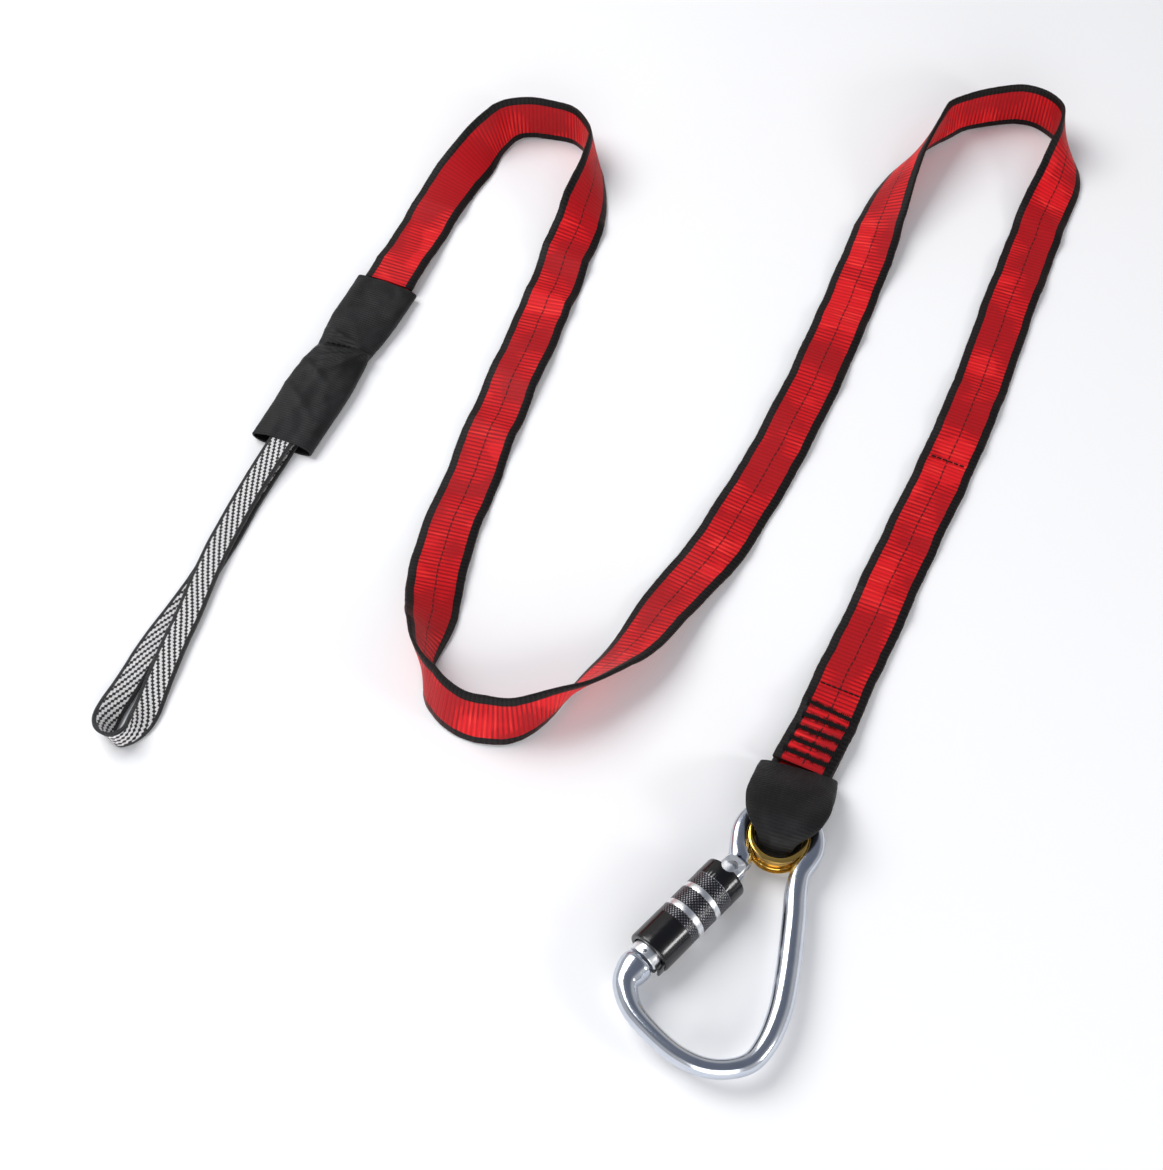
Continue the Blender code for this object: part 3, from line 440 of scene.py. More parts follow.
def wrapped_grid(along, around, place, cloth=None, capped=True):
    """A flat grid bent onto a form and closed round it: place(i, j) gives the point for a
    crossing of grid lines, and cloth(i, j) its two cloth coordinates."""
    bm = bmesh.new()
    bmesh.ops.create_grid(bm, x_segments=along, y_segments=around, size=0.5)
    layer = bm.loops.layers.uv.new("cloth")
    spots = {}
    for vert in bm.verts:
        spots[vert] = (round((vert.co.x + 0.5) * along), round((vert.co.y + 0.5) * around))
    if cloth:
        for face in bm.faces:
            for loop in face.loops:
                loop[layer].uv = cloth(*spots[loop.vert])
    for vert, spot in spots.items():
        vert.co = place(*spot)
    first = sorted((v for v, s in spots.items() if s[1] == 0), key=lambda v: spots[v][0])
    last = sorted((v for v, s in spots.items() if s[1] == around), key=lambda v: spots[v][0])
    bmesh.ops.weld_verts(bm, targetmap=dict(zip(last, first)))
    if capped:
        rims = [e for e in bm.edges if e.is_boundary]
        bmesh.ops.holes_fill(bm, edges=rims, sides=0)
    return bm


def squared_oval(turn, wide, high, square):
    """Across and out for a turn round a superellipse: 2 is an oval, more is squarer."""
    c, s = math.cos(turn), math.sin(turn)
    return (math.copysign(abs(c) ** (2 / square), c) * wide,
            math.copysign(abs(s) ** (2 / square), s) * high)


def curve_through(points, samples):
    """Evenly spaced samples of a centripetal curve through points of any dimension."""
    rows = [Vector(p) for p in points]
    rows = [2 * rows[0] - rows[1]] + rows + [2 * rows[-1] - rows[-2]]
    dense = []
    for a, b, c, d in zip(rows, rows[1:], rows[2:], rows[3:]):
        t1 = (b.xy - a.xy).length ** 0.5
        t2 = t1 + (c.xy - b.xy).length ** 0.5
        t3 = t2 + (d.xy - c.xy).length ** 0.5
        for step in range(24):
            t = t1 + (t2 - t1) * step / 24
            ab = a * (t1 - t) / t1 + b * t / t1
            bc = b * (t2 - t) / (t2 - t1) + c * (t - t1) / (t2 - t1)
            cd = c * (t3 - t) / (t3 - t2) + d * (t - t2) / (t3 - t2)
            left = ab * (t2 - t) / t2 + bc * t / t2
            right = bc * (t3 - t) / (t3 - t1) + cd * (t - t1) / (t3 - t1)
            dense.append(left * (t2 - t) / (t2 - t1) + right * (t - t1) / (t2 - t1))
    dense.append(rows[-2])
    reach = [0.0]
    for a, b in zip(dense, dense[1:]):
        reach.append(reach[-1] + (b.xy - a.xy).length)
    picked, k = [], 0
    for i in range(samples):
        goal = reach[-1] * i / (samples - 1)
        while k < len(dense) - 2 and reach[k + 1] < goal:
            k += 1
        share = (goal - reach[k]) / (reach[k + 1] - reach[k])
        picked.append(dense[k].lerp(dense[k + 1], min(share, 1.0)))
    return picked


def ribbon_frames(route, samples, width, thick):
    """Middle, side and face vectors of a webbing lying on the floor along its route."""
    rows = curve_through(route, samples)
    places = []
    for x, y, lift, roll in rows:
        turn = math.radians(roll)
        height = abs(math.sin(turn)) * width / 2 + abs(math.cos(turn)) * thick / 2
        places.append(Vector((x * MM, y * MM, lift * MM + height)))
    frames = []
    for i, row in enumerate(rows):
        ahead = places[min(i + 1, samples - 1)] - places[max(i - 1, 0)]
        right = Vector((ahead.y, -ahead.x, 0.0)).normalized()
        turn = math.radians(row[3])
        side = right * math.cos(turn) + UP * math.sin(turn)
        face = side.cross(ahead.normalized()).normalized()
        frames.append((places[i], side, face))
    return frames


def lengths_along(points):
    """Distance walked to each point."""
    walked = [0.0]
    for a, b in zip(points, points[1:]):
        walked.append(walked[-1] + (b - a).length)
    return walked


def resample(points, count):
    """Evenly spaced points on a chain of points."""
    walked = lengths_along(points)
    picked, k = [], 0
    for i in range(count):
        goal = walked[-1] * i / (count - 1)
        while k < len(points) - 2 and walked[k + 1] < goal:
            k += 1
        share = (goal - walked[k]) / max(walked[k + 1] - walked[k], 1e-9)
        picked.append(points[k].lerp(points[k + 1], min(share, 1.0)))
    return picked


def webbing_section(width, thick):
    """Stations round a webbing's section: across, out of the face, cloth coordinate."""
    half, flat = width / 2, thick / 2
    marks = (-0.968, -0.68, 0.0, 0.68, 0.968)
    front = [(half * m, flat * (0.9 if abs(m) > 0.9 else 0.98), half + half * m) for m in marks]
    back = [(half * m, -flat * (0.9 if abs(m) > 0.9 else 0.98), BACK + half - half * m)
            for m in reversed(marks)]
    edge = width + EDGE
    return (front + [(half, flat * 0.45, edge), (half, -flat * 0.45, edge + EDGE)]
            + back + [(-half, -flat * 0.45, BACK + edge), (-half, flat * 0.45, BACK + edge + EDGE),
                      (-half * 0.968, flat * 0.9, BACK + edge + 2 * EDGE)])


def crumple(walked, across, size):
    """How far worked webbing stands off its even course: soft creases that run askew."""
    fold = noise.noise(Vector((walked * 24 + across * 9, across * 7, 1.7)))
    crease = 1.0 - min(1.0, abs(fold) * 3.2)
    slow = noise.noise(Vector((walked * 55, across * 40, 3.0)))
    return size * (crease + 0.4 * slow)


def wobble(walked, size):
    """How far the band wanders sideways."""
    return size * (noise.noise(Vector((walked * 34, 8.1, 0.0)))
                   + 0.45 * noise.noise(Vector((walked * 90, 2.3, 0.0))))


def ribbed_webbing(frames, width, thick, pitch, ribs, wave=0.0, widths=None):
    """A woven band with real cross ribs, which lift every station alike, and soft creases."""
    section = webbing_section(width, thick)
    walked = lengths_along([f[0] for f in frames])

    def place(i, j):
        middle, side, face = frames[i]
        across, out, _ = section[j]
        rib = ribs * (0.8 + 0.6 * noise.noise(Vector((walked[i] / pitch * 0.7, 5.0, 0.0))))
        rib *= math.cos(math.tau * walked[i] / pitch)
        grow = widths[i] / width if widths else 1.0
        slow = crumple(walked[i], across, wave)
        upright = abs(face.z)
        tilt = face * (math.copysign(rib, out) if abs(out) > thick * 0.3 else 0.0)
        edge = side * (math.copysign(rib * 1.6, across) if abs(across) > width * 0.49 else 0.0)
        edge += side * wobble(walked[i], wave * 0.6)
        shift = UP * (max(slow, 0.0) * upright) + face * (slow * (1 - upright))
        return middle + side * (across * grow) + face * out + tilt + edge + shift

    def cloth(i, j):
        return walked[i], section[j][2]

    return wrapped_grid(len(frames) - 1, len(section) - 1, place, cloth)


def thread_run(bm, points, radius, sides=6):
    """Add one sewing thread along points to a bmesh, closed at both ends."""
    frames = []
    for i, point in enumerate(points):
        ahead = (points[min(i + 1, len(points) - 1)] - points[max(i - 1, 0)]).normalized()
        side = ahead.cross(UP)
        side = side.normalized() if side.length > 1e-6 else Vector((1, 0, 0))
        frames.append((point, side, side.cross(ahead)))

    def place(i, j):
        middle, side, up = frames[i]
        turn = math.tau * j / sides
        size = radius * (0.55 if i in (0, len(points) - 1) else 1.0)
        return middle + side * (math.cos(turn) * size) + up * (math.sin(turn) * size)

    run = wrapped_grid(len(points) - 1, sides, place)
    mesh = bpy.data.meshes.new("thread_run")
    run.to_mesh(mesh)
    run.free()
    bm.from_mesh(mesh)
    bpy.data.meshes.remove(mesh)


# ---------------------------------------------------------------- camera, then the strap
def place_camera():
    """A camera about 0.8 m away, looking down at 55 degrees."""
    data = bpy.data.cameras.new("studio_camera")
    data.lens = 55.6
    data.sensor_width = 36.0
    data.clip_start = 0.05
    camera = bpy.data.objects.new("studio_camera", data)
    bpy.context.collection.objects.link(camera)
    camera.location = (0.0488, -0.4323, 0.6471)
    camera.rotation_euler = (math.radians(35.0), 0.0, 0.0)
    bpy.context.scene.camera = camera


def strap_spot(frames, distance):
    """The strap's face at a distance back from its end: distance from the start, how far that
    is past the nearest frame, and that frame's base point, side and face."""
    walked = lengths_along([f[0] for f in frames])
    goal = walked[-1] - distance
    i = min(range(len(walked)), key=lambda k: abs(walked[k] - goal))
    middle, side, face = frames[i]
    base = middle + face * (STRAP_THICK / 2) + side * wobble(goal, STRAP_WAVE * 0.6)
    return goal, goal - walked[i], base, side, face


def bar_tack(frames, distance, length, width, rows, name, replaced):
    """A bar tack: one thread laid to and fro over the strap."""
    goal, past, base, side, face = strap_spot(frames, distance)
    ahead = face.cross(side).normalized()
    base += ahead * past
    bm = bmesh.new()
    points = []
    for k in range(rows + 1):
        u = (k / rows - 0.5) * length
        jitter = 0.22 * MM * math.sin(k * 2.7) + 0.18 * MM * math.sin(k * 0.9 + distance * 900)
        hump = 0.26 * MM if k % 2 else 0.2 * MM
        v = (width / 2 + jitter) * (1 if k % 2 else -1)
        hump += max(crumple(goal, u, STRAP_WAVE), 0.0)
        # out at the edge, in over the middle and out to the other edge
        for across, reach, lift in ((0, 1, -0.15), (0.25, 0.5, 0), (0.5, 0, 0.1), (0.75, -0.5, 0)):
            points.append(base + side * (u + across * length / rows) + ahead * (v * reach)
                          + face * (hump + lift * MM))
    thread_run(bm, points[:-3], 0.26 * MM, 5)
    return finish_piece(bm, name, "lanyard", [THREAD], [replaced], 60)


def stitch_row(frames, distance, length, count, name, replaced):
    """A row of separate lock stitches across the strap."""
    goal, _, base, side, face = strap_spot(frames, distance)
    bm = bmesh.new()
    for k in range(count):
        u = ((k + 0.5) / count - 0.5) * length
        reach = 0.42 * length / count
        lifted = max(crumple(goal, u, STRAP_WAVE), 0.0)
        points = [base + side * (u + reach * s) + face * (h * MM + lifted)
                  for s, h in ((-1, -0.1), (-0.7, 0.2), (0, 0.3), (0.7, 0.2), (1, -0.1))]
        thread_run(bm, points, 0.36 * MM)
    return finish_piece(bm, name, "lanyard", [THREAD], [replaced], 60)


def fold_frames(column, count):
    """Frames of the folded end in the eye, and its width in one column of the path."""
    turn = Matrix.Rotation(FOLD_TURN, 3, "Z")
    side = turn @ Vector((0, 1, 0))
    points, widths = [], []
    for row in FOLD_PATH:
        flat = turn @ Vector((row[0], 0, 0)) * MM
        points.append(Vector((EYE.x + flat.x, EYE.y + flat.y, row[1] * MM)))
        widths.append(row[column] * MM)
    return smooth_chain(points, widths, side, count)


def smooth_chain(points, widths, side, count):
    """Even frames of a band through points in space that bends about its side vector."""
    rows = [Vector((*p, w)) for p, w in zip(points, widths)]
    rows = [2 * rows[0] - rows[1]] + rows + [2 * rows[-1] - rows[-2]]
    dense = []
    for a, b, c, d in zip(rows, rows[1:], rows[2:], rows[3:]):
        for step in range(12):
            t = step / 12
            dense.append(0.5 * (2 * b + (c - a) * t + (2 * a - 5 * b + 4 * c - d) * t * t
                                + (3 * b - a - 3 * c + d) * t ** 3))
    dense.append(rows[-2])
    picked = resample([Vector(p[:3]) for p in dense], count)
    walked = lengths_along([Vector(p[:3]) for p in dense])
    frames, sizes, k = [], [], 0
    for i, point in enumerate(picked):
        goal = walked[-1] * i / (count - 1)
        while k < len(dense) - 2 and walked[k + 1] < goal:
            k += 1
        share = min((goal - walked[k]) / (walked[k + 1] - walked[k]), 1.0)
        sizes.append(dense[k][3] + (dense[k + 1][3] - dense[k][3]) * share)
        ahead = (picked[min(i + 1, count - 1)] - picked[max(i - 1, 0)]).normalized()
        across = side if side else Vector((-ahead.y, ahead.x, 0)).normalized()
        frames.append((point, across, across.cross(ahead).normalized()))
    return frames, sizes


def build_strap():
    """The strap, its bar tacks and rows, and its folded end, all of one webbing."""
    samples = int(1480 * MM / RIB * 6)      # six to a rib
    frames = ribbon_frames(STRAP_ROUTE, samples, STRAP_WIDTH, STRAP_THICK)
    bm = ribbed_webbing(frames, STRAP_WIDTH, STRAP_THICK, RIB, 0.17 * MM, STRAP_WAVE)
    strap = finish_piece(bm, "webbing_strap", "lanyard", [RED],
                         ["strap_webbing"], 60)
    on_strap = [bar_tack(frames, (5.0 + 6.2 * i) * MM, 20.5 * MM, 3.2 * MM, 50,
                         f"thread_tack_{i + 1}", f"bar_tack_{i + 1}") for i in range(5)]
    for distance, length, count, name in ((42.0, 17.5, 7, "end"), (180.0, 16.0, 6, "mid")):
        on_strap.append(stitch_row(frames, distance * MM, length * MM, count,
                                   f"thread_{name}_row", f"{name}_stitch_row"))

    fold, widths = fold_frames(2, 150)
    turn = Matrix.Rotation(FOLD_TURN, 3, "Z")
    end = turn @ Vector((FOLD_PATH[-1][0], 0, 0)) * MM
    start = Vector((EYE.x + end.x, EYE.y + end.y, FOLD_PATH[-1][1] * MM))
    tail = [start] + [Vector(p) * MM for p in TAIL_ROUTE]
    more, _ = smooth_chain(tail, [STRAP_WIDTH] * len(tail), None, 62)
    widths = widths[:-1] + [STRAP_WIDTH] * len(more)
    # the fold is pressed thinner than the strap
    bm = ribbed_webbing(fold[:-1] + more, STRAP_WIDTH, 1.6 * MM, RIB, 0.05 * MM, widths=widths)
    on_strap.append(finish_piece(bm, "webbing_fold", "lanyard", [RED],
                                 ["strap_eye_fold"], 60))
    walked = lengths_along([f[0] for f in frames])


place_camera()
build_strap()


# ---------------------------------------------------------------- tool loop and covers
def build_tool_loop():
    """The narrow webbing loop, from the join sleeve round its end and back."""
    frames = ribbon_frames(LOOP_ROUTE, 1150, LOOP_WIDTH, LOOP_THICK)
    bm = ribbed_webbing(frames, LOOP_WIDTH, LOOP_THICK, RIB, 0.05 * MM, 0.25 * MM)
    loop = finish_piece(bm, "webbing_tool_loop", "lanyard", [CHECK],
                        ["tool_loop"], 60)
    length = lengths_along([f[0] for f in frames])[-1]


def fabric_tube(stations, around, wall, name, replaced, relief):
    """An open sheath of woven cloth with a wall, and its girth: each station is middle, side,
    face, half width, half height, squareness, distance along. The relief is the folds'
    height at a distance along and a share across."""
    count = len(stations)

    def section(i, j, inset):
        middle, side, face, wide, high, square, walked = stations[i]
        turn = math.tau * j / around
        a, b = squared_oval(turn, wide - inset, high - inset, square)
        # the underside lies on its neighbours, so its folds are shallow
        b += relief(walked, a / wide) * (1 if math.sin(turn) > 0 else 0.2)
        return middle + side * a + face * b

    def place(i, j):
        if i < count:
            return section(i, j, 0.0)
        return section(2 * count - 1 - i, j, wall)

    girth = [0.0]
    middle_row = [section(count // 2, j, 0.0) for j in range(around + 1)]
    for a, b in zip(middle_row, middle_row[1:]):
        girth.append(girth[-1] + (b - a).length)

    def cloth(i, j):
        row = i if i < count else 2 * count - 1 - i
        return stations[row][6], girth[j]

    bm = wrapped_grid(2 * count - 1, around, place, cloth, capped=False)
    bmesh.ops.bridge_loops(bm, edges=[e for e in bm.edges if e.is_boundary])
    piece = finish_piece(bm, name, "lanyard", [SHEATH], replaced, 50)
    return piece, girth[-1]


DRAWN_IN = 0.42     # where the stitched line draws the join sheath in, as a share of its length
# wrinkles of the join sheath: share along, lean, half width, height in mm, and side
WRINKLES = ((0.452, 0.03, 0.011, 1.5, 0.0), (0.49, 0.06, 0.012, 1.3, -0.2),
            (0.53, 0.1, 0.014, 1.4, -0.5), (0.575, 0.14, 0.016, 1.1, -0.6),
            (0.63, -0.08, 0.02, 0.8, 0.5), (0.385, -0.03, 0.012, 0.7, 0.3),
            (0.2, 0.05, 0.03, 0.4, 0.4), (0.8, -0.1, 0.025, 0.6, 0.4))


def build_join_sleeve():
    """The sheath over the sewn join: two soft lobes, drawn in by a stitched line."""
    along = JOIN_BOTTOM - JOIN_TOP
    length = along.length
    heading = along.normalized()
    side = Vector((along.y, -along.x, 0)).normalized()
    shape = ((0.0, 32.0, 7.0), (0.04, 31.9, 7.1), (0.2, 31.6, 7.8), (0.33, 29.6, 7.9),
             (DRAWN_IN, 27.2, 7.5), (0.5, 28.8, 8.0), (0.64, 31.2, 8.2), (0.85, 31.0, 8.0),
             (1.0, 30.6, 7.4))
    rows = curve_through([(q * 100, 0, w, t) for q, w, t in shape], 150)
    stations = []
    for row in rows:
        share, wide, high = row[0] / 100, row[2], row[3]
        middle = JOIN_TOP + along * share + UP * (high / 2 + 0.05) * MM
        stations.append((middle, side, UP, wide / 2 * MM, high / 2 * MM, 2.9, share * length))

    def relief(walked, across):
        share = walked / length
        pinch = math.exp(-((share - DRAWN_IN - 0.02 * across) / 0.014) ** 2)
        wrinkles = 0.0
        for at, lean, sharp, high, side_bias in WRINKLES:
            near = (share - at - lean * across) / sharp
            wrinkles += high * math.exp(-near * near) * max(0.0, 1 - (across - side_bias) ** 2)
        ridge = math.exp(-((across - 0.25 + 0.5 * (share - 0.5)) / 0.16) ** 2)
        ridge *= max(0.0, min(1.0, (share - 0.5) / 0.12)) * max(0.0, 1.25 - share)
        soft = noise.noise(Vector((walked * 60, across * 1.6, 0.3)))
        fine = noise.noise(Vector((walked * 190, across * 3.5, 7.0)))
        mouth = max(0.0, share - 0.93) * 9 * (0.25 - abs(across) * 0.5)
        return (-0.8 * pinch + wrinkles + 1.2 * ridge + 0.9 * soft + 0.4 * fine - 0.15
                + mouth) * MM

    piece, girth = fabric_tube(stations, 96, 0.8 * MM, "sheath_join", ["join_sleeve"], relief)
    # the stitched line that draws the sheath in
    bm = bmesh.new()
    across_width = 24.0 * MM
    centre = JOIN_TOP + along * DRAWN_IN
    stitches = 9
    for k in range(stitches):
        u = (k + 0.5) / stitches - 0.5
        top = 7.5 * (1 - abs(2 * u) ** 2.9 * 0.28) - 0.65
        reach = 0.42 / stitches
        points = []
        for s, h in ((-1, -0.35), (-0.7, 0.1), (0, 0.22), (0.7, 0.1), (1, -0.35)):
            v = u + reach * s
            points.append(centre + side * (v * across_width) + heading * (0.02 * v * length)
                          + UP * (top + h) * MM)
        thread_run(bm, points, 0.3 * MM)
    finish_piece(bm, "thread_join_line", "lanyard", [THREAD],
                 ["join_cross_stitch"], 60)


def build_sewn_end():
    """The strap's end inside the join sheath."""
    along = (JOIN_BOTTOM - JOIN_TOP).normalized()
    side = Vector((along.y, -along.x, 0)).normalized()
    start = JOIN_TOP + along * 0.3 * MM + UP * 3.7 * MM
    count = int(SEWN_LENGTH / RIB * 4)
    frames = [(start + along * (SEWN_LENGTH * i / count), side, UP) for i in range(count + 1)]
    bm = ribbed_webbing(frames, STRAP_WIDTH, STRAP_THICK, RIB, 0.09 * MM)
    finish_piece(bm, "webbing_sewn_end", "lanyard", [RED],
                 ["strap_sewn_end"], 60)


def build_eye_cover():
    """The sheath over the fold: broad over the strap and drawn in through the bush."""
    frames, widths = fold_frames(3, 120)
    walked = lengths_along([f[0] for f in frames])
    stations = []
    for (middle, side, face), wide, reach in zip(frames, widths, walked):
        # the slack cloth bulges over the far half of the ring
        wide += 3.4 * MM * math.exp(-((reach - 35.5 * MM) / (6.0 * MM)) ** 2)
        wide -= 2.0 * MM * math.exp(-((reach - 15.0 * MM) / (9.0 * MM)) ** 2)
        square = 2.3 + 0.9 * min(1.0, max(0.0, (wide - 18 * MM) / (10 * MM)))
        stations.append((middle, side, face, wide / 2, 1.7 * MM, square, reach))

    def relief(walked_to, across):
        soft = noise.noise(Vector((walked_to * 70, across * 2.0, 5.0))) * 0.45
        fine = noise.noise(Vector((walked_to * 240, across * 4.0, 2.0))) * 0.12
        return (soft + fine) * MM

    piece, _ = fabric_tube(stations, 64, 0.6 * MM, "sheath_eye", ["eye_wear_cover"], relief)


build_tool_loop()
build_join_sleeve()
build_sewn_end()
build_eye_cover()


# ---------------------------------------------------------------- carabiner
BODY_FRAME = Matrix.Translation(EYE) @ Matrix.Rotation(BODY_TURN, 4, "Z")
GATE_FRAME = BODY_FRAME @ Matrix.Translation(HINGE) @ Matrix.Rotation(GATE_TURN, 4, "Z")


def turned_part(profile, steps, matrix, axis="X"):
    """A turned part: a closed profile of (along, radius) in millimetres, spun about the axis."""
    bm = bmesh.new()
    along = Vector((1, 0, 0)) if axis == "X" else Vector((0, 0, 1))
    out = Vector((0, 0, 1)) if axis == "X" else Vector((1, 0, 0))
    verts = [bm.verts.new(along * (a * MM) + out * (r * MM)) for a, r in profile]
    edges = [bm.edges.new((v, verts[(i + 1) % len(verts)])) for i, v in enumerate(verts)]
    bmesh.ops.spin(bm, geom=verts + edges, axis=along, cent=(0, 0, 0), angle=math.tau,
                   steps=steps, use_merge=True)
    bmesh.ops.remove_doubles(bm, verts=bm.verts, dist=1e-7)
    bmesh.ops.transform(bm, matrix=matrix, verts=bm.verts)
    return bm


def rounded_block(low, high, edge, matrix, segments=3):
    """A block between two corners in millimetres, with its edges rounded."""
    bm = bmesh.new()
    low, high = Vector(low) * MM, Vector(high) * MM
    bmesh.ops.create_cube(bm, size=1.0)
    bmesh.ops.scale(bm, verts=bm.verts, vec=high - low)
    bmesh.ops.translate(bm, verts=bm.verts, vec=(low + high) / 2)
    bmesh.ops.bevel(bm, geom=bm.edges, offset=edge * MM, segments=segments, profile=0.5,
                    affect="EDGES", material=-1)
    bmesh.ops.transform(bm, matrix=matrix, verts=bm.verts)
    return bm


def carved(bm, cutters):
    """Cut or join closed bmeshes, and give back one bmesh."""
    def as_object(shape, name):
        bmesh.ops.recalc_face_normals(shape, faces=shape.faces)
        mesh = bpy.data.meshes.new(name)
        shape.to_mesh(mesh)
        shape.free()
        made = bpy.data.objects.new(name, mesh)
        bpy.context.collection.objects.link(made)
        return made

    piece = as_object(bm, "carving")
    tools = []
    for cutter, operation in cutters:
        tool = as_object(cutter, "carving_tool")
        boolean = piece.modifiers.new("carve", "BOOLEAN")
        boolean.operation = operation
        boolean.solver = "EXACT"
        boolean.object = tool
        tools.append(tool)
    bpy.context.view_layer.update()
    result = bmesh.new()
    result.from_object(piece, bpy.context.evaluated_depsgraph_get())
    for made in tools + [piece]:
        mesh = made.data
        bpy.data.objects.remove(made)
        bpy.data.meshes.remove(mesh)
    return result


def soften(bm, offset, angle=35.0, segments=2):
    """Round a carved shape's sharp edges a little, so that they catch the light."""
    bmesh.ops.remove_doubles(bm, verts=bm.verts, dist=1e-6)
    sharp = [e for e in bm.edges if len(e.link_faces) == 2
             and e.calc_face_angle(0.0) > math.radians(angle)]
    bmesh.ops.bevel(bm, geom=sharp, offset=offset * MM, segments=segments, profile=0.5,
                    affect="EDGES", material=-1, clamp_overlap=True)
    return bm


def build_body():
    """The forged body: one rounded rod from the nose round to the spine, eye and shoulder."""
    eye = []
    for angle in EYE_ANGLES:
        turn = math.radians(angle)
        eye.append((EYE_RADIUS * math.cos(turn), EYE_RADIUS * math.sin(turn), 8.0, 8.0, 0.3))
    rows = curve_through(list(BODY_ROD) + eye + list(BODY_SHOULDER), 420)
    around, count = 44, len(rows)
    frames = []
    for i, row in enumerate(rows):
        ahead = rows[min(i + 1, count - 1)] - rows[max(i - 1, 0)]
        if i in (0, count - 1):
            ahead = Vector((math.cos(GATE_TURN), math.sin(GATE_TURN)))
        out = Vector((ahead[1], -ahead[0], 0.0)).normalized()
        # a corner cut of 0.6 leaves nearly an oval
        square = 2.1 + (0.6 - row[4]) * 2.2
        frames.append((Vector((row[0], row[1], 0)), out, row[2] / 2, row[3] / 2, square))

    def place(i, j):
        middle, out, wide, high, square = frames[i]
        # the last three rings draw in, so both ends have a rounded edge
        shrink = 1.0 - 0.09 * max(0.0, 1 - min(i, count - 1 - i) / 3) ** 2
        a, b = squared_oval(math.tau * j / around, wide * shrink, high * shrink, square)
        return BODY_FRAME @ ((middle + out * a + UP * b) * MM)

    bm = wrapped_grid(count - 1, around, place)
    finish_piece(bm, "forged_body", "carabiner", [ALLOY],
                 ["carabiner_body"], 35)
    hinge = rounded_block((-7.6, -3.8, -1.8), (3.3, 3.8, 1.8), 0.35, GATE_FRAME)
    finish_piece(hinge, "hinge_tongue", "carabiner", [ALLOY])
    nose = rounded_block((48.6, -2.7, -1.35), (55.0, 2.7, 1.35), 0.3, GATE_FRAME)
    finish_piece(nose, "nose_tongue", "carabiner", [ALLOY])


def build_gate():
    """The gate: ears round the hinge tongue, the bar and the slotted head, and two rivets."""
    bar = turned_part([(0.0, 0.0), (0.0, 5.0), (47.0, 5.0), (47.1, 6.2), (47.4, 6.6),
                       (51.1, 6.7), (51.5, 6.5), (51.7, 5.9), (51.7, 0.0)], 64, GATE_FRAME)
    ears = turned_part([(-4.4, 0.0), (-4.4, 4.3), (-4.1, 4.6), (4.1, 4.6), (4.4, 4.3),
                        (4.4, 0.0)], 64, Matrix.Identity(4), "Z")
    for vert in [v for v in ears.verts if v.co.xy.length > 0.1 * MM]:
        # squared off, as a milled block is
        way = vert.co.xy.normalized()
        share = (abs(way.x) ** 3.2 + abs(way.y) ** 3.2) ** (-1 / 3.2)
        vert.co.x, vert.co.y = vert.co.x * share, vert.co.y * share
    bmesh.ops.transform(ears, matrix=GATE_FRAME, verts=ears.verts)
    hinge_slot = rounded_block((-9, -9, -2.1), (5.6, 9, 2.1), 0.05, GATE_FRAME, 1)
    head_slot = rounded_block((47.9, -9, -1.7), (54.2, 9, 1.7), 0.05, GATE_FRAME, 1)
    bm = carved(bar, [(ears, "UNION"), (hinge_slot, "DIFFERENCE"), (head_slot, "DIFFERENCE")])
    soften(bm, 0.22)
    finish_piece(bm, "gate_bar", "gate", [BRIGHT], ["gate_arm"], 35)
    rivet = turned_part([(-4.95, 0.0), (-4.9, 1.0), (-4.7, 1.8), (-4.42, 2.3), (-4.42, 1.5),
                         (4.42, 1.5), (4.42, 2.3), (4.7, 1.8), (4.9, 1.0), (4.95, 0.0)],
                        40, GATE_FRAME, "Z")
    finish_piece(rivet, "hinge_rivet", "carabiner", [STEEL],
                 ["gate_hinge_rivet"], 30)
    pin = turned_part([(-6.9, 0.0), (-6.8, 0.7), (-6.5, 1.0), (6.5, 1.0), (6.8, 0.7),
                       (6.9, 0.0)], 24, GATE_FRAME @ Matrix.Translation((50 * MM, 0, 0)), "Z")
    finish_piece(pin, "latch_rivet", "gate", [STEEL], ["gate_latch_pin"], 30)


# what each stretch of the sleeve's surface is, which is also the order of its finishes
SMOOTH, BANDED, KNURLED = 0, 1, 2


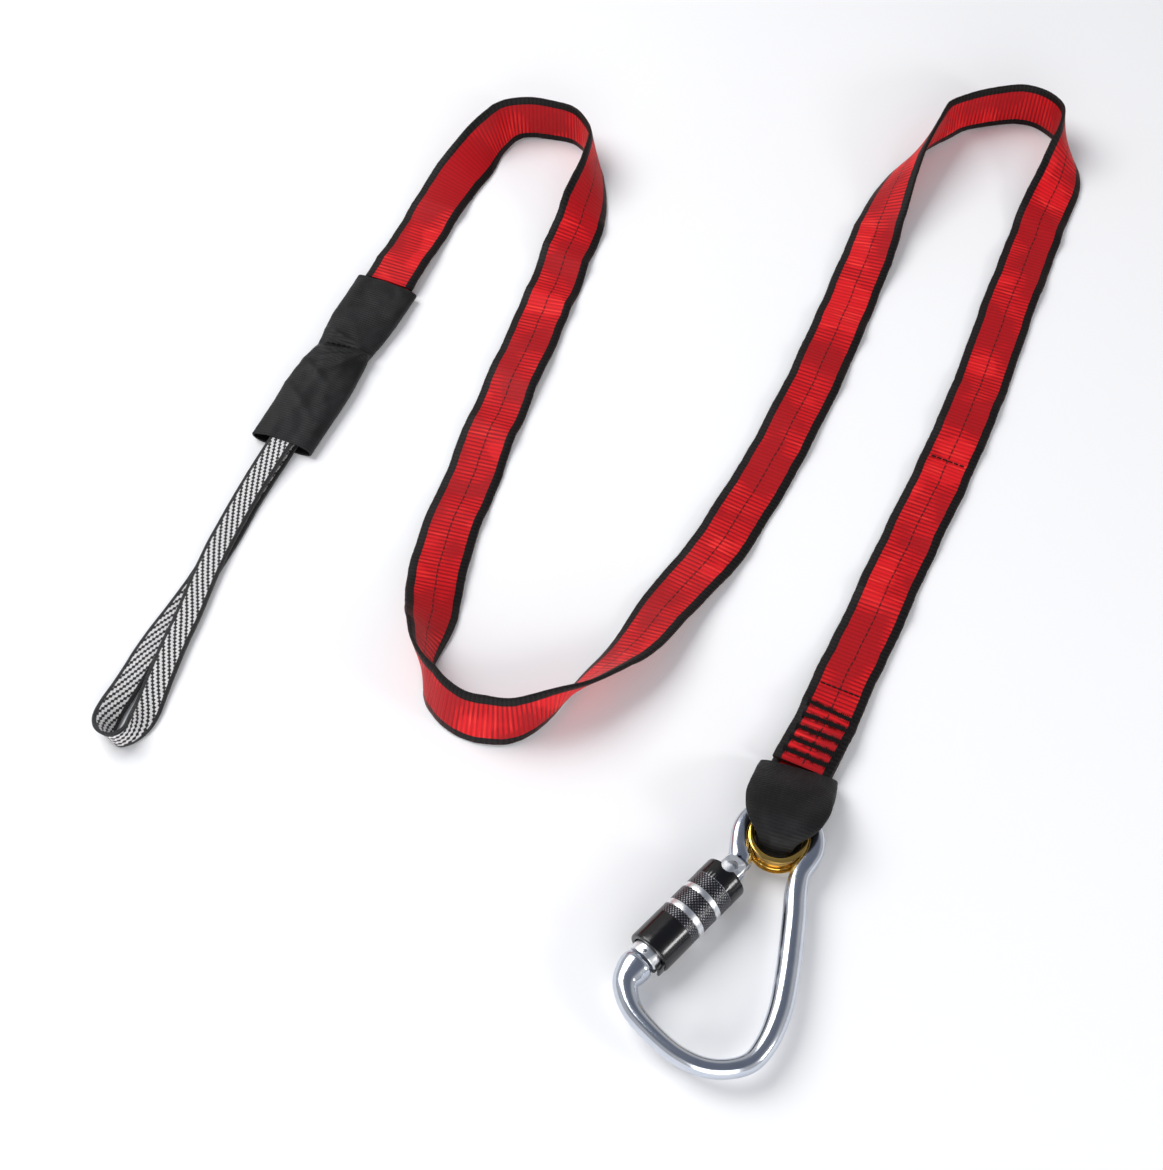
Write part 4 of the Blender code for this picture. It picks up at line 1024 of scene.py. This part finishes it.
def build_sleeve():
    """The locking sleeve: diamond knurl between smooth ends, with two bright turned bands."""
    radius, bore, land = 9.2, 7.4, 5.4
    knurl_from, knurl_to, knurl_step = 10.8, 33.2, 0.22
    knurl_pitch, knurl_starts, knurl_depth = 1.55, 40, 0.4
    bands = ((16.9, 19.4), (26.4, 29.1))
    # up the bore from its middle, round the mouth and back along the outside to the knurl
    profile = [(a, r, SMOOTH) for a, r in (
        (36.5, bore), (36.5, land), (38.0, land), (38.0, 7.2), (43.7, 7.2), (43.7, land),
        (45.4, land), (45.4, 6.4), (46.9, 7.0), (47.45, 7.15), (47.6, 7.5), (47.6, 8.5),
        (47.45, 8.95), (47.1, 9.15), (46.6, radius), (44.0, radius), (40.0, radius),
        (36.0, radius), (knurl_to + 0.06, radius))]
    at = knurl_to
    while at > knurl_from:
        inside = [b for b in bands if b[0] - 0.01 < at < b[1] + 0.01]
        if inside:
            low, high = inside[0]
            # a crowned band between two fine grooves
            profile += [(high, radius - 0.3, SMOOTH), (high - 0.1, radius - 0.28, BANDED),
                        (high - 0.12, radius, BANDED), (high - 0.4, radius + 0.05, BANDED),
                        ((low + high) / 2, radius + 0.06, BANDED),
                        (low + 0.4, radius + 0.05, BANDED), (low + 0.12, radius, BANDED),
                        (low + 0.1, radius - 0.28, BANDED), (low, radius - 0.3, SMOOTH)]
            at = low - 0.02
        else:
            profile.append((at, radius - 0.04, KNURLED))
            at -= knurl_step
    profile += [(a, r, SMOOTH) for a, r in (
        (knurl_from - 0.06, radius), (8.0, radius), (6.0, radius), (4.6, radius), (3.9, radius),
        (3.45, radius - 0.15), (3.2, radius - 0.5), (3.2, bore + 0.3), (3.4, bore),
        (10.0, bore), (20.0, bore), (30.0, bore))]
    around, count = 256, len(profile)
    rivet_room, hinge_end, scallop_end = 3.3, 3.2, 10.0

    def place(i, j):
        at, size, kind = profile[i % count]
        turn = math.tau * j / around
        if kind == KNURLED:
            # two sets of grooves that wind opposite ways
            wound = knurl_starts * j / around
            lift = min(abs((at / knurl_pitch + way * wound) % 1 - 0.5) for way in (1, -1))
            size -= knurl_depth * (0.5 - lift)
        y, z = size * math.cos(turn), size * math.sin(turn)
        # scallop in the hinge end, round the rivet's head on both sides
        if at < scallop_end and abs(y) < rivet_room and abs(z) > 4.0:
            edge = 1.8 + math.sqrt(max(0.0, rivet_room ** 2 - y * y))
            if edge > hinge_end:
                left = 1 - (at - hinge_end) / (scallop_end - hinge_end)
                at += (edge - hinge_end) * max(0.0, left)
        return GATE_FRAME @ (Vector((at, y, z)) * MM)

    bm = wrapped_grid(count, around, place, capped=False)
    bmesh.ops.remove_doubles(bm, verts=bm.verts, dist=1e-7)
    inverse = GATE_FRAME.inverted()
    for face in bm.faces:
        local = inverse @ face.calc_center_median() / MM
        out = math.hypot(local.y, local.z)
        on_band = any(low + 0.05 < local.x < high - 0.05 for low, high in bands)
        face.material_index = BANDED if on_band and out > radius - 0.35 else SMOOTH
        # the knurl's points get a lighter grey finish: painted glints on the crests
        if knurl_from < local.x < knurl_to and not on_band and out > radius - 0.17:
            face.material_index = KNURLED
    finish_piece(bm, "knurled_sleeve", "lock_sleeve", [BLACK, BRIGHT, KNURL_CREST_GLINT],
                 ["locking_sleeve"], 32)
    lug = rounded_block((46.6, 7.05, -2.9), (50.9, 8.35, 2.9), 0.4, GATE_FRAME)
    finish_piece(lug, "sleeve_lug", "lock_sleeve", [BLACK])


def build_bush():
    """The flanged bush: two turned gold halves, pressed together in the eye."""
    profile = ((0.15, 9.4), (0.15, 10.2), (2.2, 10.2), (4.1, 10.2), (4.3, 10.45), (4.3, 11.5),
               (4.42, 11.72), (4.65, 11.8), (4.88, 11.72), (5.0, 11.5), (5.0, 10.3),
               (4.93, 9.9), (4.72, 9.6), (4.4, 9.4))
    for name, sign, node in (("bush_flange_top", 1, "bush_upper_half"),
                             ("bush_flange_bottom", -1, "bush_lower_half")):
        bm = turned_part([(sign * a, r) for a, r in profile], 96, BODY_FRAME, "Z")
        finish_piece(bm, name, "bush", [GOLD], [node], 30)


def finish_inner_parts():
    """Give the frame's own nodes inside the sleeve their steel, and the hidden tacks thread."""
    steel = ("gate_plunger", "gate_spring", "sleeve_guide_pin", "sleeve_retaining_clip",
             "sleeve_slide_collar", "sleeve_spring", "sleeve_spring_seat")
    for nodes, finish in ((steel, STEEL), (("join_bar_tack_1", "join_bar_tack_2"), THREAD)):
        for node in nodes:
            materials = bpy.data.objects[node].data.materials
            materials.clear()
            materials.append(finish)


build_body()
build_gate()
build_sleeve()
build_bush()
finish_inner_parts()


# ---------------------------------------------------------------- floor and light
def build_stage():
    """A plain pale floor."""
    made, _, _ = new_material("matt_paper_white", Base_Color="f4f4f5", Roughness=0.7,
                              Specular_IOR_Level=0.2)
    bm = bmesh.new()
    bmesh.ops.create_grid(bm, x_segments=1, y_segments=1, size=12.0)
    mesh = bpy.data.meshes.new("floor")
    bm.to_mesh(mesh)
    bm.free()
    mesh.materials.append(made)
    floor = bpy.data.objects.new("floor", mesh)
    bpy.context.collection.objects.link(floor)


def soft_light(name, place, aim, size, power, colour="ffffff"):
    """A square studio light turned towards a point."""
    data = bpy.data.lights.new(name, "AREA")
    data.size = size
    data.energy = power
    data.color = hex_linear(colour)[:3]
    light = bpy.data.objects.new(name, data)
    bpy.context.collection.objects.link(light)
    light.location = place
    light.rotation_euler = (Vector(aim) - Vector(place)).to_track_quat("-Z", "Y").to_euler()


def build_light():
    """A large soft key from the upper left, a softer front light and a narrow strip from the
    right, in a pale room. The room is greyer overhead, and polished metal mirrors that as
    the dark band along the top of the rod."""
    scene = bpy.context.scene
    scene.view_settings.view_transform = "Standard"
    world = bpy.data.worlds.new("studio")
    world.use_nodes = True
    scene.world = world
    background = world.node_tree.nodes["Background"]
    node = partial(add_node, world.node_tree)
    height = node("SeparateXYZ", (node("TexCoord", output="Generated"),), 2)
    overhead = node("MapRange", (height, 0.5, 0.85), interpolation_type="SMOOTHSTEP")
    plug(background, Strength=0.62,
         Color=node("Mix", {0: overhead, 6: "f3f2f1", 7: "8e94a2"}, 2, data_type="RGBA"))
    soft_light("key", (-0.75, 0.5, 1.2), (0.05, 0.0, 0.0), 1.0, 19.0)
    soft_light("front", (0.0, -1.5, 0.5), (0.05, 0.0, 0.0), 1.2, 14.0)
    soft_light("strip", (1.1, -0.57, 0.5), (0.1, -0.1, 0.0), 0.22, 3.2)


build_stage()
build_light()
